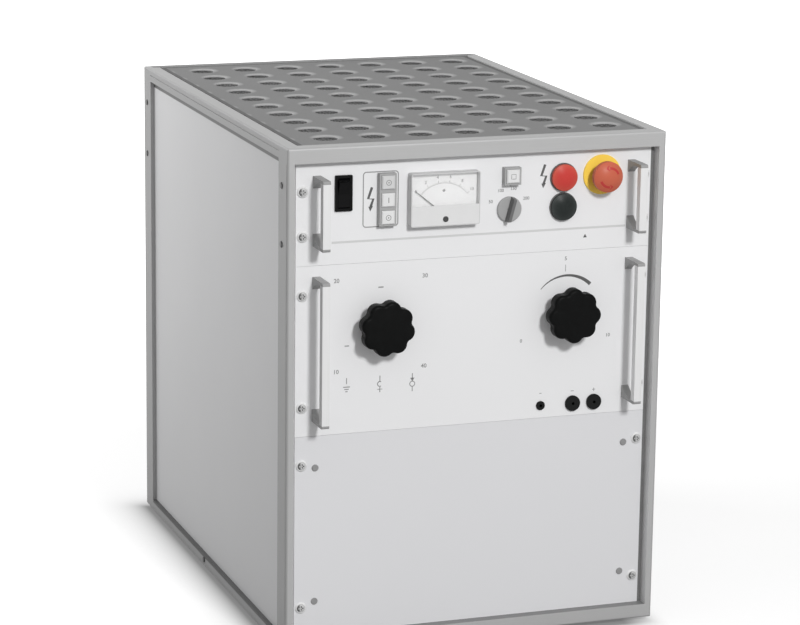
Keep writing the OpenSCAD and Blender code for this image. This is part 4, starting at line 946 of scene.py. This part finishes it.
def wire_screen(finish):
    """The screen under the vent holes, as two sets of crossing wires."""
    low, high = corners("vent_screen")
    pitch, radius, end_in, side_in = 6.4*MM, 0.45*MM, 0.2*MM, 1*MM
    level = high[2] - 2*radius
    for name, axis in (("vent_screen_long_wires", 1), ("vent_screen_cross_wires", 0)):
        other = 1 - axis
        along = np.arange(low[axis] + end_in, high[axis] - end_in, pitch/2)
        across = np.arange(low[other] + side_in, high[other] - side_in, pitch)
        grid = wires(along, across, radius, axis)[..., [axis, other, 2]]
        pile = Pile()
        for wire in grid + np.array([0, 0, level]):
            pile.skin(wire)
        pile.piece(name, finish, "cabinet", "wire_dark", ("vent_screen",))


# Dressing of the CAD nodes

# Heights of the side panel's foot as photographed, and of the lip on the bottom side rail
SEAM_Z, LIP_Z = 22*MM, 18.3*MM


def dress(finish, *names):
    for name in names:
        for holder in nodes[name].material_slots:
            holder.material = finish
        if not nodes[name].material_slots:
            nodes[name].data.materials.append(finish)


def lower_seam(node, finish):
    """A copy of a CAD piece whose edge at the side panels' foot lies at the seam's height, as
    photographed. What lies between the lip and the old edge is pressed together in proportion."""
    old, margin = corners("side_panel_left")[0][2], 1*MM
    mesh = nodes[node].data.copy()
    mesh.name = node + "_seam"
    places = np.empty(len(mesh.vertices)*3)
    mesh.vertices.foreach_get("co", places)
    z = places[2::3]
    z[:] = np.where(z < old + margin, np.interp(z, [0, LIP_Z, old], [0, LIP_Z, SEAM_Z]), z)
    mesh.vertices.foreach_set("co", places)
    mesh.materials.clear()
    mesh.materials.append(finish)
    made = placed(mesh.name, mesh)
    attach(made, "cabinet")
    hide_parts(node)


def cross_rail_shadows(place, facing):
    """Dark on the sill before the blank panel, and on the rear rail behind the cover."""
    sill, rear = corners("blank_panel")[0][2] + 5*MM, corners("top_cover")[1][1]
    faces_up = facing[2].past(0.5, 0.1)
    on_sill, on_rear = (-place[2]).past(-sill)*faces_up, place[1].past(rear, 8*MM)
    return on_sill*0.5 + on_rear*0.6


def side_rail_shadows(place, _):
    """A dark line on the bottom rail, from its lip to just over the side panel's foot."""
    over, strength = 5*MM, 0.85
    return place[2].past(LIP_Z)*(-place[2]).past(-SEAM_Z - over)*strength


def dress_cabinet():
    silver, sheet = grey(172), tone(205, 205, 206)
    dress(drawn_aluminium("post_silver", silver, "z"), "front_posts", "rear_posts")
    dress(drawn_aluminium("cross_rail_silver", silver, "x", shadows=cross_rail_shadows),
          "cross_rails")
    side_rail = drawn_aluminium("side_rail_silver", silver, "y", shadows=side_rail_shadows)
    lower_seam("side_rails", side_rail)
    side_sheet = powder_coat("side_sheet_grey", sheet, marks=side_sheet_light_and_shade)
    for node in ("side_panel_left", "side_panel_right"):
        lower_seam(node, side_sheet)
    dress(powder_coat("rear_sheet_grey", sheet), "rear_panel")
    dress(powder_coat("cover_grey", grey(121), rough=0.68, grain=0.7*MM, depth=0.08*MM, spread=0.07,
                      marks=vent_highlight_and_shade), "top_cover")
    dress(plated_steel("zinc_plate", tone(196, 198, 202)),
          "base_plate", "cage_nuts", "equipment_shelf")
    # Painted light and shade: the dark grey stands in for shade in the gaps beside the panels, and
    # the pale grey on the left strips is painted light
    dress(plated_steel("strip_zinc_gap_shade", grey(112), rough=0.5, metal=0.2, left=grey(235)),
          "rack_strips")
    dress(soft_rubber("foot_rubber"), "feet")
    smooth_paint = {"grain": 0.6*MM, "depth": 0.02*MM, "spread": 0.012}
    dress(powder_coat("panel_white", tone(231, 231, 232), **smooth_paint),
          "control_panel", "stage_panel")
    dress(powder_coat("panel_grey", tone(219, 219, 221), **smooth_paint), "blank_panel")
    dress(moulded("washer_nylon", grey(228), rough=0.7, specular=0.2), "cup_washers")
    dress(moulded("plug_grey", grey(140), rough=0.5), "hole_plugs")
    dress(moulded("screw_black", grey(38), rough=0.4), "case_screws")
    dress(powder_coat("bracket_grey", grey(152), rough=0.45, grain=0.5*MM, depth=0.03*MM),
          "handle_brackets")
    dress(drawn_aluminium("grip_silver", grey(222), "z", rough=0.6, metal=0.1), "handle_grips")


def dress_controls():
    dress(moulded("rocker_black", tone(10, 10, 11), rough=0.3, grain=0.8*MM, depth=0.04*MM,
                  specular=0.07), "breaker_frame", "breaker_rocker")
    dress(moulded("button_frame_grey", grey(162), rough=0.5), "button_frames")
    dress(moulded("cap_upper_grey", grey(205), rough=0.4), "upper_button")
    dress(moulded("cap_grey", grey(222), rough=0.4),
          "middle_button", "lower_button", "square_button")
    dress(moulded("meter_case_grey", grey(204), rough=0.5), "meter_case")
    dress(moulded("meter_cover_grey", grey(219), rough=0.4), "meter_cover")
    dress(clear_pane("meter_pane"), "meter_window")
    dress(powder_coat("dial_white", grey(245), rough=0.6, grain=0.4*MM, depth=0.01*MM,
                      spread=0.01), "meter_dial")
    dress(moulded("needle_grey", grey(70), rough=0.5), "meter_needle")
    dress(moulded("zero_screw_grey", grey(58), rough=0.4), "zero_screw")
    dress(moulded("selector_grey", grey(160), rough=0.5), "selector_switch")
    dress(moulded("selector_dark", grey(96)), "selector_knob")
    dress(moulded("lamp_rim_grey", grey(90), rough=0.4), "lamp_housings")
    # The second colour of each lens is its paler rim: painted sheen
    for node, colour, edge in (("red_lens", tone(196, 62, 58), tone(202, 92, 76)),
                               ("green_lens", tone(28, 33, 32), tone(62, 66, 65))):
        low, high = corners(node)
        dress(lens(node, colour, edge, middle(node), (high[0] - low[0])/2), node)
    dress(moulded("collar_yellow", tone(252, 214, 84), spread=0.03), "estop_collar")
    dress(moulded("stop_red", tone(194, 98, 74), rough=0.4, specular=0.2), "estop_mushroom")
    dress(moulded("switch_body", grey(66), rough=0.55), "estop_contacts")
    dress(turned_steel("stop_stem_steel", grey(190), middle("estop_stem")), "estop_stem")
    knob = knob_black("knob_black")
    lobed_knob("stage_knob", "stage_control", knob, first_lobe=math.radians(-12))
    lobed_knob("voltage_knob", "voltage_control", knob)
    dress(moulded("socket_black", tone(15, 16, 16), rough=0.4, specular=0.12),
          "earth_socket", "output_sockets")


def dress_inside():
    dress(turned_steel("stage_shaft_steel", grey(190), middle("stage_knob")), "stage_shaft")
    dress(turned_steel("voltage_shaft_steel", grey(190), middle("voltage_knob")), "voltage_shaft")
    dress(plated_steel("movement_steel", grey(150), size=3*MM), "meter_movement")
    dress(coated_rod("switch_resin", tone(148, 108, 72)), "stage_switch")
    dress(windings("variac_copper", middle("voltage_knob")), "variac")
    dress(laminations("core_varnish"), "hv_transformer")
    dress(powder_coat("capacitor_blue", tone(98, 128, 166), rough=0.35), "impulse_capacitors")
    dress(coated_rod("resistor_cement", tone(206, 186, 154)), "wave_resistors")
    dress(moulded("stack_ivory", tone(224, 220, 204), rough=0.4), "rectifier_stack")
    dress(circuit_board("board_green"), "control_board")
    dress(moulded("inlet_black", grey(36), rough=0.5), "mains_inlet")


photograph_camera()
studio_lights()
white_world()
floor()
dress_cabinet()
dress_controls()
dress_inside()
print_dark = ink("print_dark", 80)
print_pale = ink("print_pale", 138)
control_print(print_dark, print_pale, ink("print_faint", 203))
stage_print(print_dark, print_pale)
meter_scale(ink("scale_ink", 140))
button_marks(ink("button_ink", 130))
stop_arrows(moulded("arrow_red", tone(187, 64, 60), rough=0.4, specular=0.2))
rack_screw_heads(screw_steel("screw_steel"))
wire_screen(moulded("wire_dark", grey(118), rough=0.75, specular=0.1))
bpy.context.scene.view_settings.view_transform = "Standard"
